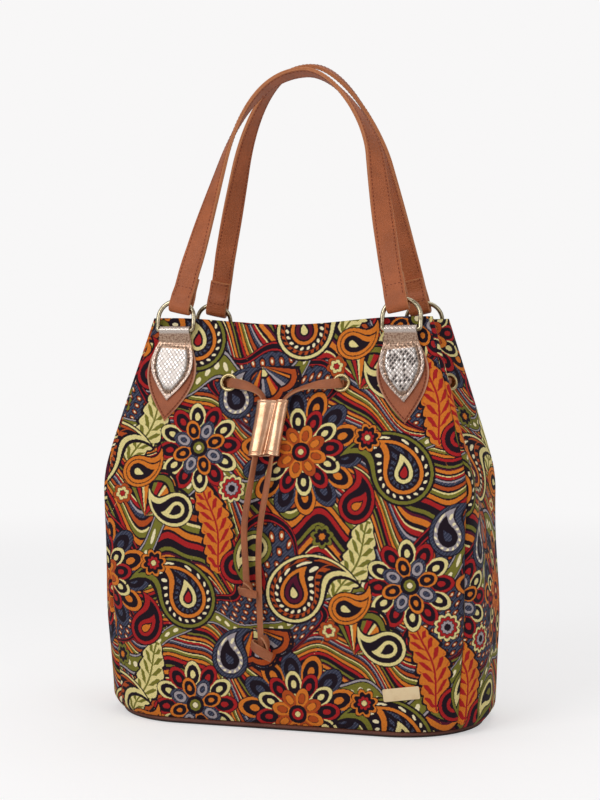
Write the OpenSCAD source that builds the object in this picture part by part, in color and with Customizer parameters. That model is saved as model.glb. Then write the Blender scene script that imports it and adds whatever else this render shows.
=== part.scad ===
// Bucket tote bag in woven cloth with a drawcord rim, leather straps on rings and leaf-shaped tabs.
// The bag stands on its base on z = 0, the front panel faces -Y and the width runs along X.

/* [Body] */
// Height of the rim beside the handle tabs
bag_h = 330; // [290:1:370]
// Width of the base seam
base_w = 302; // [270:1:330]
// Depth of the base seam, front to back
base_d = 140; // [134:1:170]
// Part of the base's half depth that its round corners take
corner_share = 0.93; // [0.65:0.01:0.96]
// How far the cloth swells out just above the base seam
foot_out = 10; // [0:0.5:12]
// Width of the widest part
belly_w = 325.5; // [310:1:360]
// Height of the widest part
belly_z = 72; // [50:1:110]
// Width of the hip, where the sides start to lean in
hip_w = 310.5; // [280:1:350]
// Height of the hip
hip_z = 198; // [160:1:230]
// Width of the rim
rim_w = 235; // [200:1:270]
// Depth of the rim
rim_d = 88; // [76:1:110]
// Corner radius of the rim
rim_r = 6; // [4.5:0.5:20]
// How far the rim dips in the middle of the front and back
rim_dip = 6; // [0:1:14]
// How far each gusset folds inward at the rim
fold_depth = 28; // [10:1:34]
// How far the front and back swell in the middle
belly_out = 5; // [0:1:8]
// Thickness of the lined cloth
wall = 2; // [1.5:0.1:3]

/* [Base] */
// Thickness of the base panel
base_t = 3; // [2:0.5:5]
// Diameter of the leather piping around the base
piping_d = 4.4; // [3:0.1:6]
// Thickness of the stiff board inside the base
board_t = 2.4; // [1.5:0.1:4]

/* [Handles] */
// Distance of each handle tab from the middle
tab_x = 94.5; // [84:0.5:102]
// Height of each handle above its ring bar
handle_h = 219; // [190:1:270]
// Sideways sway of the handle crowns
crown_sway = 6.5; // [-12:1:12]
// Inward lean of the handles
handle_lean = 10; // [6:0.5:12]
// Tilt of the strap legs
leg_tilt = 12.2; // [10:0.1:16]
// Width of the straps
strap_w = 18; // [17:0.5:20.5]
// Thickness of the straps
strap_t = 3.2; // [2.4:0.1:4]
// Length of the sewn turn-back of each strap
flap_l = 22; // [18:1:30]

/* [Rings and tabs] */
// Wire diameter of the rings
wire_d = 3.6; // [3:0.1:4]
// Half width of a ring between wire centres
ring_half = 15.4; // [15:0.1:17]
// Height of a ring between wire centres
ring_h = 24.5; // [22:0.5:34]
// Width of the tab fold that holds the ring
fold_w = 25.4; // [20:0.1:25.6]
// Length of the upper leaf below its ring bar
tab_l = 58; // [50:1:66]
// Half width of the upper leaf
tab_half = 18; // [15:0.5:20]
// Length of the lower leaf below the ring bar
leaf_l = 73; // [66:1:80]
// Half width of the lower leaf
leaf_half = 21; // [18:0.5:23]
// Thickness of the leaf leather
leather_t = 1.5; // [1:0.1:2]

/* [Drawcord] */
// Distance of the eyelets below the rim
eye_drop = 53; // [36:1:62]
// Distance of the front and rear eyelets from the middle
eye_x = 47; // [38:1:54]
// Hole radius of an eyelet
eye_r = 5; // [4.5:0.1:6]
// Width of the lace
lace_w = 5.4; // [5:0.1:7]
// Thickness of the lace
lace_t = 2.6; // [2:0.1:3.2]
// Length of the cord slider
slider_l = 47; // [36:1:54]
// Width of the cord slider
slider_w = 26; // [24:0.5:30]
// Thickness of the cord slider
slider_t = 8; // [7:0.5:10]
// Sideways tilt of the cord slider
slider_tilt = 7; // [0:0.5:10]
// Straight run that the slider can travel
slide_run = 50; // [30:1:60]

/* [Plate] */
// Width of the bare metal plate
plate_w = 29; // [20:0.5:36]
// Height of the bare metal plate
plate_h = 10; // [7:0.5:14]
// Distance of the plate from the middle
plate_x = 100; // [60:1:104]
// Height of the plate above the floor
plate_z = 33; // [26:1:50]

/* [Hidden] */

gap = 0.3;              // clearance between sewn layers
lining_t = 0.8;
seam_z = 5;             // lower edge of the cloth, above the piping
shoulder_z = 181;       // level where front and back start to lean in
shoulder_soft = 51;     // half length of that bend
hip_soft = 15;          // half length of the bend at the hip
foot_z = 15;            // height of the swell at the base seam
foot_share = 0.3;       // part of that swell that front and back take
fold_z = 120;           // level where the gusset fold starts
gusset_dip = 4;         // dip of the rim at the gusset fold
crease_share = 0.76;    // share of the height above which the corners are creased
seam_open = 0.3;        // width of the seam line between two panels

base_r = corner_share * base_d / 2;
eye_z = bag_h - eye_drop;
side_lean = (hip_w - rim_w) / 2 / (bag_h - hip_z);
depth_lean = (base_d / 2 + foot_share * foot_out - rim_d / 2) / (bag_h - shoulder_z);
panel_lean = atan(depth_lean);
flat_top = shoulder_z + shoulder_soft;

flat_n = 6;             // segments across half of a panel's flat
arc_n = 3;              // segments across half of a rounded corner
fold_n = 5;             // segments across half of a gusset fold
row_n = 17;             // rows of a panel from base to rim
lining_n = row_n;       // rows of the lining, which lies along the cloth

tab_top = 10.5;          // level of the ring bar below the flat rim line, along the panel
wire_r = wire_d / 2;
bar_r = wire_r + gap;           // eye radius in the tab fold
fold_r = bar_r + leather_t;     // outside radius of the tab fold
bar_off = fold_r + 0.7;         // ring bar axis in front of the panel
bar_level = bag_h - tab_top - bar_off * sin(panel_lean);
bar_y = half_d(bar_level) + bar_off * cos(panel_lean);
bar_z = bar_level + bar_off * sin(panel_lean);
ring_low_r = 2.4;       // corner radius at the ring's bar
ring_up_r = 14.4;         // shoulder radius at the ring's top
leaf_top = 10.4;        // top of the lower leaf below the ring bar
leaf_splay = 5;         // turn of the leaves, points outward, along the straps
stitch_v = 11;          // sewn line below the ring bar

loop_r = wire_r + 0.35 + strap_t / 2;       // strap loop around the ring
loop_v = ring_h - 4.9;                      // loop centre above the ring bar
foot_x = tab_x - 3.5;                     // strap centre at the loop
layer_off = strap_t / 2 + gap / 2;
leg_end_v = handle_h - 77;                  // where the straight leg meets the arch
leg_l = (leg_end_v - loop_v) / cos(leg_tilt);
arch_in = 43;           // handle of the arch curve at the leg
arch_top = 35;          // handle of the arch curve at the crown

slider_x = -10;
slider_z = eye_z - 37;
slider_off = 0.7;       // slider's back in front of the panel
channel_x = 6.8;        // channel axis beside the slider's middle
channel_w = lace_w + 1.4;
channel_t = lace_t + 1.4;

barrel_r = eye_r + 0.7;
rivet_depth = wall + gap + lining_t + gap;  // cloth stack that an eyelet clamps
flange_r = 1.25;
plate_off = 0.45;       // plate's back in front of the flat of the panel
plate_turn = 3;         // turn of the plate onto the rounded corner
side_lift = 0.5;        // eyelets on the curved gusset sit a little prouder

cloth = [0.25, 0.18, 0.24];
cloth_side = [0.35, 0.22, 0.20];
brown = [0.60, 0.33, 0.19];
dark_brown = [0.36, 0.20, 0.12];
snake = [0.80, 0.71, 0.62];
copper = [0.86, 0.62, 0.45];
brass = [0.66, 0.57, 0.40];
gold = [0.90, 0.79, 0.58];
sand = [0.72, 0.64, 0.52];

$fn = 48;

// Curves of the body

function unit(t) = max(0, min(1, t));
function ease(t) = t * t * (3 - 2 * t);
function mix(a, b, t) = a + (b - a) * t;

// Ramp that is 0 below a level, rises 1 in 1 above it and bends softly between
function bend(z, level, soft) =
    z <= level - soft ? 0 :
    z >= level + soft ? z - level :
    pow(z - level + soft, 2) / (4 * soft);

function half_w(z) =
    (z < belly_z
        ? mix(base_w / 2, belly_w / 2 - foot_out, sin(90 * unit(z / belly_z)))
        : mix(belly_w, hip_w, ease(unit((z - belly_z) / (hip_z - belly_z)))) / 2 - foot_out)
    + foot(z)
    - side_lean * bend(z, hip_z, hip_soft);

function half_d(z) =
    base_d / 2 + foot_share * foot(z) - depth_lean * bend(z, shoulder_z, shoulder_soft);

// Quick swell of the cloth out of the base seam
function foot(z) = foot_out * sin(90 * unit(z / foot_z));

function corner_r(z) = mix(base_r, rim_r, ease(unit(z / (crease_share * bag_h))));

function fold_in(z) = fold_depth * ease(unit((z - fold_z) / (bag_h - fold_z)));

function swell(x, z) =
    belly_out
    * pow(cos(90 * unit(abs(x) / (half_w(z) - corner_r(z)))), 2)
    * pow(sin(180 * unit(z / flat_top)), 2);

// Points of one level, inset by a thickness; columns run left to right seen from outside

function front_point(k, z, inset) =
    let (a = half_w(z) - inset, b = half_d(z) - inset, r = corner_r(z) - inset)
    let (flat = a - r, s = sign(k))
    abs(k) <= flat_n
        ? [flat * k / flat_n, -b - swell(flat * k / flat_n, z), z]
        : let (t = (abs(k) - flat_n) / arc_n * (45 - seam_turn(r)))
          [s * (flat + r * sin(t)), -(b - r + r * cos(t)), z];

function side_point(k, z, inset) =
    let (a = half_w(z) - inset, b = half_d(z) - inset, r = corner_r(z) - inset)
    let (flat = b - r, s = sign(k))
    abs(k) <= fold_n
        ? [fold_x(flat * k / fold_n, z, inset), flat * k / fold_n, z]
        : let (t = (abs(k) - fold_n) / arc_n * (45 - seam_turn(r)))
          [a - r + r * cos(t), s * (flat + r * sin(t)), z];

// Half of the seam line as an angle on the corner
function seam_turn(r) = seam_open / 2 / r * 180 / PI;

// Outer face of the folded gusset at a depth y
function fold_x(y, z, inset) =
    let (flat = half_d(z) - corner_r(z))
    half_w(z) - inset - fold_in(z) * pow(cos(90 * unit(abs(y) / flat)), 2);

// Height of a grid point: rows follow the dipping rim
function front_rim(k) =
    bag_h - rim_dip * pow(cos(90 * unit(abs(k) / flat_n * 1.1)), 2);
function side_rim(k) =
    bag_h - gusset_dip * pow(cos(90 * unit(abs(k) / fold_n)), 2);
function row_z(top, row, rows, low) = mix(low, top, pow(row / rows, 1.12));

// Faces of a grid with an outer and an inner sheet

function quad(a, b, c, d) = [[a, b, c], [a, c, d]];

function sheet_faces(rows, cols, closed) =
    let (n = rows * cols, last = closed ? cols - 1 : cols - 2)
    concat(
        [for (r = [0 : rows - 2], c = [0 : last])
            let (d = (c + 1) % cols, p = r * cols)
            each quad(p + c, p + cols + c, p + cols + d, p + d)],
        [for (r = [0 : rows - 2], c = [0 : last])
            let (d = (c + 1) % cols, p = n + r * cols)
            each quad(p + c, p + d, p + cols + d, p + cols + c)],
        [for (c = [0 : last])
            let (d = (c + 1) % cols)
            each quad(c, d, n + d, n + c)],
        [for (c = [0 : last])
            let (d = (c + 1) % cols, p = (rows - 1) * cols)
            each quad(p + d, p + c, n + p + c, n + p + d)],
        closed ? [] : [for (r = [0 : rows - 2])
            let (p = r * cols)
            each quad(p + cols, p, n + p, n + p + cols)],
        closed ? [] : [for (r = [0 : rows - 2])
            let (p = r * cols + cols - 1)
            each quad(p, p + cols, n + p + cols, n + p)]
    );

module sheet(outer, inner, rows, cols, closed = false) {
    polyhedron(concat(outer, inner), sheet_faces(rows, cols, closed), convexity = 8);
}

// Tube through rings of points
module tube(rings) {
    n = len(rings);
    m = len(rings[0]);
    sides = [for (i = [0 : n - 2], j = [0 : m - 1])
        let (k = (j + 1) % m)
        each quad(i * m + j, i * m + k, (i + 1) * m + k, (i + 1) * m + j)];
    caps = [[for (j = [m - 1 : -1 : 0]) j], [for (j = [0 : m - 1]) (n - 1) * m + j]];
    polyhedron([for (ring = rings) each ring], concat(sides, caps), convexity = 8);
}

// Places on the body

module on_front(x, z) {
    translate([x, -half_d(z), z])
        rotate([90 - panel_lean, 0, 0])
            children();
}

module turn_back() {
    rotate([0, 0, 180])
        children();
}

// Gusset eyelets sit half way down each side of the fold
eye_y = (half_d(eye_z) - corner_r(eye_z)) / 2;
eye_side_x = fold_x(eye_y, eye_z, 0);
eye_side_turn = atan2(-(fold_x(eye_y + 1, eye_z, 0) - fold_x(eye_y - 1, eye_z, 0)) / 2, 1);
eye_side_rise = (fold_x(eye_y, eye_z - 1, 0) - fold_x(eye_y, eye_z + 1, 0)) / 2;
eye_side_tip = 90 - atan(eye_side_rise * cos(eye_side_turn));

// Seat of an eyelet on the right gusset, end = 1 at the rear half and -1 at the front half
module on_side(end) {
    translate([eye_side_x, end * eye_y, eye_z])
        rotate([0, eye_side_tip, end * eye_side_turn])
            children();
}

module front_holes() {
    for (s = [-1, 1])
        on_front(s * eye_x, eye_z)
            cylinder(r = barrel_r + 0.2, h = 24, center = true);
}

module side_holes() {
    for (s = [-1, 1])
        on_side(s)
            cylinder(r = barrel_r + 0.2, h = 24, center = true);
}

// Cloth body

front_cols = flat_n + arc_n;
side_cols = fold_n + arc_n;

module cloth_front() {
    grid = [for (r = [0 : row_n], k = [-front_cols : front_cols])
        [k, row_z(front_rim(k), r, row_n, seam_z)]];
    difference() {
        sheet(
            [for (g = grid) front_point(g[0], g[1], 0)],
            [for (g = grid) front_point(g[0], g[1], wall)],
            row_n + 1, 2 * front_cols + 1);
        front_holes();
    }
}

module cloth_side() {
    grid = [for (r = [0 : row_n], k = [-side_cols : side_cols])
        [k, row_z(side_rim(k), r, row_n, seam_z)]];
    difference() {
        sheet(
            [for (g = grid) side_point(g[0], g[1], 0)],
            [for (g = grid) side_point(g[0], g[1], wall)],
            row_n + 1, 2 * side_cols + 1);
        side_holes();
    }
}

module front_panel() {
    color(cloth)
        cloth_front();
}

module back_panel() {
    color(cloth)
        turn_back()
            cloth_front();
}

module right_gusset() {
    color(cloth_side)
        cloth_side();
}

module left_gusset() {
    color(cloth_side)
        turn_back()
            cloth_side();
}

// One level of the lining, all the way around; the lowest row stops above the board
function lining_half(r, inset) =
    let (points = concat(
        [for (k = [-front_cols + 1 : front_cols - 1])
            front_point(k, row_z(front_rim(k) - 2, r, lining_n, seam_z), inset)],
        [for (k = [-side_cols + 1 : side_cols - 1])
            side_point(k, row_z(side_rim(k) - 2, r, lining_n, seam_z), inset)]
    ))
    [for (p = points) r == 0 ? [p[0], p[1], lining_low] : p];
function lining_level(r, inset) =
    let (half = lining_half(r, inset))
    concat(half, [for (p = half) [-p[0], -p[1], p[2]]]);
lining_low = base_t + gap + board_t + gap;

module lining() {
    inset = wall + gap;
    color(sand)
        difference() {
            sheet(
                [for (r = [0 : lining_n]) each lining_level(r, inset)],
                [for (r = [0 : lining_n]) each lining_level(r, inset + lining_t)],
                lining_n + 1, len(lining_level(0, inset)), true);
            front_holes();
            side_holes();
            turn_back() {
                front_holes();
                side_holes();
            }
        }
}

// Base

module base_outline(inset) {
    w = base_w - 2 * inset;
    d = base_d - 2 * inset;
    r = base_r - inset;
    square([w - 2 * r, d], center = true);
    square([w, d - 2 * r], center = true);
    for (x = [-1, 1], y = [-1, 1])
        translate([x * (w / 2 - r), y * (d / 2 - r)])
            circle(r = r, $fn = 96);
}

piping_grow = 0.4;      // piping centre outside the seam line
piping_z = piping_d / 2 + 0.3;

module base_panel() {
    color(dark_brown)
        linear_extrude(base_t)
            base_outline(piping_d / 2 - piping_grow + gap);
}

module base_board() {
    color(sand)
        translate([0, 0, base_t + gap])
            linear_extrude(board_t)
                base_outline(wall + gap + lining_t + gap);
}

module base_piping() {
    x = base_w / 2 - base_r;
    y = base_d / 2 - base_r;
    r = base_r + piping_grow;
    color(brown)
        translate([0, 0, piping_z]) {
            for (sx = [-1, 1])
                translate([sx * (x + r), 0, 0])
                    rotate([90, 0, 0])
                        cylinder(d = piping_d, h = 2 * y, center = true);
            for (sy = [-1, 1])
                translate([0, sy * (y + r), 0])
                    rotate([0, 90, 0])
                        cylinder(d = piping_d, h = 2 * x, center = true);
            for (q = [0 : 3])
                translate([(q == 0 || q == 3 ? 1 : -1) * x, (q < 2 ? 1 : -1) * y, 0])
                    rotate([0, 0, 90 * q])
                        rotate_extrude(angle = 90, $fn = 96)
                            translate([r, 0])
                                circle(d = piping_d, $fn = 24);
        }
}

// Handles: points are [sideways, up the handle, out of its plane]

leg_dir = [-sin(leg_tilt), cos(leg_tilt), 0];
out_dir = [0, 0, 1];

function leg_at(p, w) = [foot_x, loop_v, 0] + p * leg_dir + w * out_dir;

// Layers run apart around the ring wire, then lie on each other and meet the middle plane
function layer_w(p) =
    p <= flap_l
        ? mix(loop_r, layer_off, ease(unit((p - 8) / 9)))
        : mix(layer_off, 0, ease(unit((p - flap_l) / 26)));

arch_a = leg_at(leg_l, 0);
arch_b = arch_a + arch_in * leg_dir;
arch_c = [arch_top, handle_h, 0];
arch_d = [0, handle_h, 0];
function arch_at(t) =
    pow(1 - t, 3) * arch_a + 3 * t * pow(1 - t, 2) * arch_b
    + 3 * t * t * (1 - t) * arch_c + pow(t, 3) * arch_d;

flap_p = [for (i = [0 : 3]) mix(flap_l, 7, i / 3)];
leg_p = concat([for (i = [0 : 3]) mix(7, flap_l, i / 3)], [for (i = [1 : 7]) mix(flap_l, leg_l, i / 7)]);

// Half of the strap's middle line, from the end of its turn-back to the crown
half_path = concat(
    [for (p = flap_p) leg_at(p, -layer_w(p))],
    [for (a = [0 : 30 : 180]) leg_at(-loop_r * sin(a), -loop_r * cos(a))],
    [for (p = leg_p) leg_at(p, layer_w(p))],
    [for (i = [1 : 9]) arch_at(i / 9)]
);
half_len = len(half_path);
sway_v = loop_v + flap_l;                   // sway starts above the sewn ends
turn_from = 15;         // path point where the strap starts to turn
straight_path = concat(half_path, [for (i = [half_len - 2 : -1 : 0]) flip(half_path[i])]);
function swayed(sway) = [
    for (p = straight_path)
        p + [sway * ease(unit((p[1] - sway_v) / (handle_h - sway_v))), 0, 0]
];
function flip(p) = [-p[0], p[1], p[2]];

function path_dir(path, i) =
    let (d = path[min(len(path) - 1, i + 1)] - path[max(0, i - 1)])
    d / norm(d);

// Turn of the strap, 0 where it faces forward and 90 where it faces up
function strap_turn(k) =
    90 * sin(90 * unit((k - turn_from) / (half_len - 1 - turn_from)));

function strap_ring(path, i) =
    let (t = path_dir(path, i), mirrored = i >= half_len)
    let (k = mirrored ? len(path) - 1 - i : i)
    let (edge = [t[1], -t[0], 0])
    let (a = strap_turn(k))
    let (out = k < turn_from
        ? cross(mirrored ? flip(leg_side) : leg_side, t)
        : cos(a) * out_dir + sin(a) * edge / norm(edge))
    let (across = cross(t, out), wide = across / norm(across), up = cross(wide, t))
    let (w = strap_w / 2, h = strap_t / 2, c = strap_round)
    let (half = [[w, c - h], [w, h - c], [w - c, h], [c - w, h]])
    [for (q = concat(half, -half)) path[i] + q[0] * wide + q[1] * up];
strap_round = 0.8;      // eased edge of the straps
leg_side = [cos(leg_tilt), sin(leg_tilt), 0];

module on_bar() {
    translate([0, -bar_y, bar_z])
        rotate([90 - handle_lean, 0, 0])
            children();
}

module strap(sway) {
    path = swayed(sway);
    on_bar()
        tube([for (i = [0 : len(path) - 1]) strap_ring(path, i)]);
}

module front_strap() {
    color(brown)
        strap(crown_sway);
}

module rear_strap() {
    color(brown)
        turn_back()
            strap(-crown_sway / 2);
}

// Ring of round wire: a straight bar below, soft shoulders above
module ring(side) {
    low_x = ring_half - ring_low_r;
    up_x = ring_half - ring_up_r;
    up_y = ring_h - ring_up_r;
    on_bar()
        translate([side * tab_x, 0, 0]) {
            rotate([0, 90, 0])
                cylinder(d = wire_d, h = 2 * low_x, center = true, $fn = 24);
            translate([0, ring_h, 0])
                rotate([0, 90, 0])
                    cylinder(d = wire_d, h = 2 * up_x, center = true, $fn = 24);
            for (s = [-1, 1]) {
                translate([s * ring_half, ring_low_r, 0])
                    rotate([-90, 0, 0])
                        cylinder(d = wire_d, h = up_y - ring_low_r, $fn = 24);
                translate([s * low_x, ring_low_r, 0])
                    rotate([0, 0, s > 0 ? -90 : 180])
                        rotate_extrude(angle = 90)
                            translate([ring_low_r, 0])
                                circle(d = wire_d, $fn = 24);
                translate([s * up_x, up_y, 0])
                    rotate([0, 0, s > 0 ? 0 : 90])
                        rotate_extrude(angle = 90, $fn = 72)
                            translate([ring_up_r, 0])
                                circle(d = wire_d, $fn = 24);
            }
        }
}

module front_left_ring() {
    color(brass)
        ring(-1);
}

module front_right_ring() {
    color(brass)
        ring(1);
}

module rear_left_ring() {
    color(brass)
        turn_back()
            ring(1);
}

module rear_right_ring() {
    color(brass)
        turn_back()
            ring(-1);
}

// Leaf outline: half width along its length, widest at a third and pointed below
function leaf_half_at(s, top, wide, long) =
    let (peak = 0.36 * long)
    s < peak
        ? mix(top, wide, sin(90 * s / peak))
        : wide * cos(90 * (s - peak) / (long - peak));

module leaf_shape(top, wide, long) {
    n = 14;
    right = [for (i = [0 : n]) [leaf_half_at(long * i / n, top, wide, long), -long * i / n]];
    left = [for (i = [n - 1 : -1 : 0]) [-right[i][0], right[i][1]]];
    polygon(concat(right, left));
}

// Lower leaf, flat on the panel under the ring
module leaf(side) {
    on_front(side * tab_x, bar_level)
        translate([0, -leaf_top, gap])
            rotate([0, 0, side * leaf_splay])
                linear_extrude(leather_t)
                    leaf_shape(leaf_half * 0.66, leaf_half, leaf_l - leaf_top);
}

// Upper leaf with the fold that holds the ring's bar
module tab(side) {
    base = gap + leather_t + gap;
    on_front(side * tab_x, bar_level) {
        translate([0, -stitch_v + 1, base])
            rotate([0, 0, side * leaf_splay])
                linear_extrude(leather_t)
                    leaf_shape(fold_w / 2, tab_half, tab_l - stitch_v + 1);
        rotate([90, 0, -90])
            linear_extrude(fold_w, center = true)
                difference() {
                    union() {
                        translate([0, bar_off])
                            circle(r = fold_r);
                        polygon([
                            [0, bar_off - fold_r],
                            [0, bar_off + fold_r],
                            [stitch_v, base + leather_t],
                            [stitch_v, base]
                        ]);
                    }
                    translate([0, bar_off])
                        circle(r = bar_r);
                }
    }
}

module front_left_leaf() {
    color(brown)
        leaf(-1);
}

module front_right_leaf() {
    color(brown)
        leaf(1);
}

module rear_left_leaf() {
    color(brown)
        turn_back()
            leaf(1);
}

module rear_right_leaf() {
    color(brown)
        turn_back()
            leaf(-1);
}

module front_left_tab() {
    color(snake)
        tab(-1);
}

module front_right_tab() {
    color(snake)
        tab(1);
}

module rear_left_tab() {
    color(snake)
        turn_back()
            tab(1);
}

module rear_right_tab() {
    color(snake)
        turn_back()
            tab(-1);
}

// Eyelets: domed flange outside, barrel through the cloth, flat washer inside

module eyelet() {
    rotate_extrude() {
        translate([eye_r, -rivet_depth - 1])
            square([barrel_r - eye_r, rivet_depth + 1 + gap + 0.4]);
        translate([eye_r + flange_r, gap])
            intersection() {
                circle(r = flange_r, $fn = 32);
                translate([-flange_r, 0])
                    square([2 * flange_r, flange_r]);
            }
    }
}

module washer() {
    translate([0, 0, -rivet_depth - 1])
        rotate_extrude()
            translate([barrel_r + 0.15, 0])
                square([1.7, 0.8]);
}

module front_pair() {
    for (s = [-1, 1])
        on_front(s * eye_x, eye_z)
            children();
}

module side_pair() {
    for (s = [-1, 1])
        on_side(s)
            children();
}

module front_eyelets() {
    color(brass)
        front_pair()
            eyelet();
}

module rear_eyelets() {
    color(brass)
        turn_back()
            front_pair()
                eyelet();
}

module right_eyelets() {
    color(brass)
        side_pair()
            translate([0, 0, side_lift])
                eyelet();
}

module left_eyelets() {
    color(brass)
        turn_back()
            side_pair()
                translate([0, 0, side_lift])
                    eyelet();
}

module eyelet_washers() {
    color(brass)
        for (turn = [0, 180])
            rotate([0, 0, turn]) {
                front_pair()
                    washer();
                side_pair()
                    washer();
            }
}

// Lace: points on the front and on the right side, off = distance out of the cloth

function front_at(x, z, off) = [x, -half_d(z) - swell(x, z) - off, z];

// Through an eyelet: far runs along the cloth from its middle, off runs out along its axis
function front_thread(far, off) =
    [eye_x + far, -half_d(eye_z) - off * cos(panel_lean), eye_z + off * sin(panel_lean)];
side_out = [
    sin(eye_side_tip) * cos(eye_side_turn),
    sin(eye_side_tip) * sin(eye_side_turn),
    cos(eye_side_tip)
];
side_along = [-sin(eye_side_turn), cos(eye_side_turn), 0];
function side_thread(far, off) = [eye_side_x, eye_y, eye_z] + off * side_out + far * side_along;

function turn_y(p) = [p[0], -p[1], p[2]];
function turn_x(p) = [-p[0], p[1], p[2]];

// The lace slants through each eyelet: from outside, past its middle, to well inside
outside_way = [[-4.4, 3.9], [-1.3, 1.4], [0.2, -1.4]];
inside_way = [[1.7, -4.2], [4.6, -6.9], [9.5, -8]];

// Quarter of the laced run, from the middle of a gusset fold to inside a rear eyelet
quarter = concat(
    [[eye_side_x - 3.5, 0, eye_z - 1]],
    [for (w = concat(outside_way, inside_way)) side_thread(w[0], w[1])],
    [turn_y(front_at(eye_x + 42, eye_z, -13)), turn_y(front_thread(20, -9))],
    [for (w = reverse(inside_way)) turn_y(front_thread(w[0], w[1]))]
);
back_middle = concat(
    [for (w = reverse(outside_way)) turn_y(front_thread(w[0], w[1]))],
    [
        turn_y(front_at(eye_x - 9, eye_z, 4.6)),
        turn_y(front_at(eye_x - 24, eye_z - 1, 3.2)),
        turn_y(front_at(0, eye_z - 2, 2.6))
    ]
);
lace_start = front_thread(0.6, -1.1);

function reverse(list) = [for (i = [len(list) - 1 : -1 : 0]) list[i]];
function skip(list, n) = [for (i = [n : len(list) - 1]) list[i]];

right_run = concat(
    [lace_start],
    reverse([for (p = quarter) turn_y(p)]),
    skip(quarter, 1),
    back_middle
);
lace_run = concat(right_run, skip(reverse([for (p = right_run) turn_x(p)]), 1));

slide_up = [
    sin(slider_tilt),
    cos(slider_tilt) * sin(panel_lean),
    cos(slider_tilt) * cos(panel_lean)
];
slide_side = [
    cos(slider_tilt),
    -sin(slider_tilt) * sin(panel_lean),
    -sin(slider_tilt) * cos(panel_lean)
];
slide_middle = [slider_x, -half_d(slider_z), slider_z]
    + (slider_off + slider_t / 2) * [0, -cos(panel_lean), sin(panel_lean)];
// Point in a channel of the slider, k along it from the slider's middle
function channel_at(side, k) = slide_middle + side * channel_x * slide_side + k * slide_up;

low_end = -slider_l / 2 - slide_run;
function channel_run(side) = [
    for (k = [slider_l / 2 + 6, slider_l / 2 + 2, 0, -slider_l / 2, low_end + 20, low_end, low_end - 5])
        channel_at(side, k)
];

left_end = concat(
    [
        front_at(-eye_x + 0.4, eye_z, 0.2),
        front_at(-eye_x + 2, eye_z, 2.6),
        front_at(-eye_x + 8, eye_z - 1, 4.4),
        front_at(-eye_x + 20, eye_z - 3, 4.4)
    ],
    channel_run(-1),
    [front_at(-25, slider_z - 94, 4.5), front_at(-24, slider_z - 108, 5), front_at(-23, slider_z - 121, 6.5)]
);
right_end = concat(
    [
        front_at(eye_x - 0.4, eye_z, 0.2),
        front_at(eye_x - 2, eye_z, 2.6),
        front_at(eye_x - 8, eye_z - 1, 4.4),
        front_at(eye_x - 28, eye_z - 3, 4.4)
    ],
    channel_run(1),
    [
        front_at(-14, slider_z - 100, 4),
        front_at(-13, slider_z - 130, 4.5),
        front_at(-12, slider_z - 150, 6),
        front_at(-11, slider_z - 164, 8.1)
    ]
);

// Smooth curve through route points
function curve_at(p, i, t) =
    let (n = len(p) - 1)
    let (a = p[max(0, i - 1)], b = p[i], c = p[min(n, i + 1)], d = p[min(n, i + 2)])
    0.5 * (2 * b + (c - a) * t + (2 * a - 5 * b + 4 * c - d) * t * t
        + (3 * b - a - 3 * c + d) * t * t * t);
function curve(p, per) = concat(
    [for (i = [0 : len(p) - 2], j = [0 : per - 1]) curve_at(p, i, j / per)],
    [p[len(p) - 1]]
);

// Oval section of the lace, its flat side along wide
function lace_ring(middle, along, wide_hint) =
    let (t = along / norm(along))
    let (w = wide_hint - (wide_hint * t) * t)
    let (wide = w / norm(w), thick = cross(wide, t))
    [for (a = [0 : 45 : 315])
        middle + lace_w / 2 * cos(a) * wide + lace_t / 2 * sin(a) * thick];

function way(p, i) = p[min(len(p) - 1, i + 1)] - p[max(0, i - 1)];

module drawcord() {
    p = lace_run;
    color(brown)
        tube([for (i = [0 : len(p) - 1]) lace_ring(p[i], way(p, i), [0, 0, 1])]);
}

// Loose end of the lace, flat against the front
module cord_end(route) {
    p = curve(route, 2);
    face = [0, -cos(panel_lean), sin(panel_lean)];
    tube([for (i = [0 : len(p) - 1]) lace_ring(p[i], way(p, i), cross(way(p, i), face))]);
}

module left_cord_end() {
    color(brown)
        cord_end(left_end);
}

module right_cord_end() {
    color(brown)
        cord_end(right_end);
}

module left_knot() {
    last = left_end[len(left_end) - 1];
    r = 6.2;
    color(brown)
        translate(last - [0, 0, r + gap])
            sphere(r = r);
}

module right_knot() {
    last = right_end[len(right_end) - 1];
    r = 7.8;
    color(brown)
        translate(last - [0, 0, r + gap])
            sphere(r = r);
}

// Slider: two sewn channels side by side
module channel_shape(w, t) {
    square([w - t, t], center = true);
    for (s = [-1, 1])
        translate([s * (w - t) / 2, 0])
            circle(d = t, $fn = 32);
}

module cord_slider() {
    color(copper)
        on_front(slider_x, slider_z)
            rotate([0, 0, -slider_tilt])
                translate([0, 0, slider_off + slider_t / 2])
                    rotate([-90, 0, 0])
                        linear_extrude(slider_l, center = true)
                            difference() {
                                for (s = [-1, 1])
                                    translate([s * (slider_w / 4 - 0.2), 0])
                                        channel_shape(slider_w / 2 + 0.4, slider_t);
                                for (s = [-1, 1])
                                    translate([s * channel_x, 0])
                                        channel_shape(channel_w, channel_t);
                            }
}

// Plate with rounded corners, left bare
module name_plate() {
    r = 1.2;
    color(gold)
        translate([plate_x, -half_d(plate_z) - plate_off, plate_z])
            rotate([90, 0, plate_turn])
                rotate([0, 0, 4])
                    linear_extrude(1.2) {
                        square([plate_w, plate_h - 2 * r], center = true);
                        square([plate_w - 2 * r, plate_h], center = true);
                        for (x = [-1, 1], y = [-1, 1])
                            translate([x * (plate_w / 2 - r), y * (plate_h / 2 - r)])
                                circle(r = r, $fn = 24);
                    }
}

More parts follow.
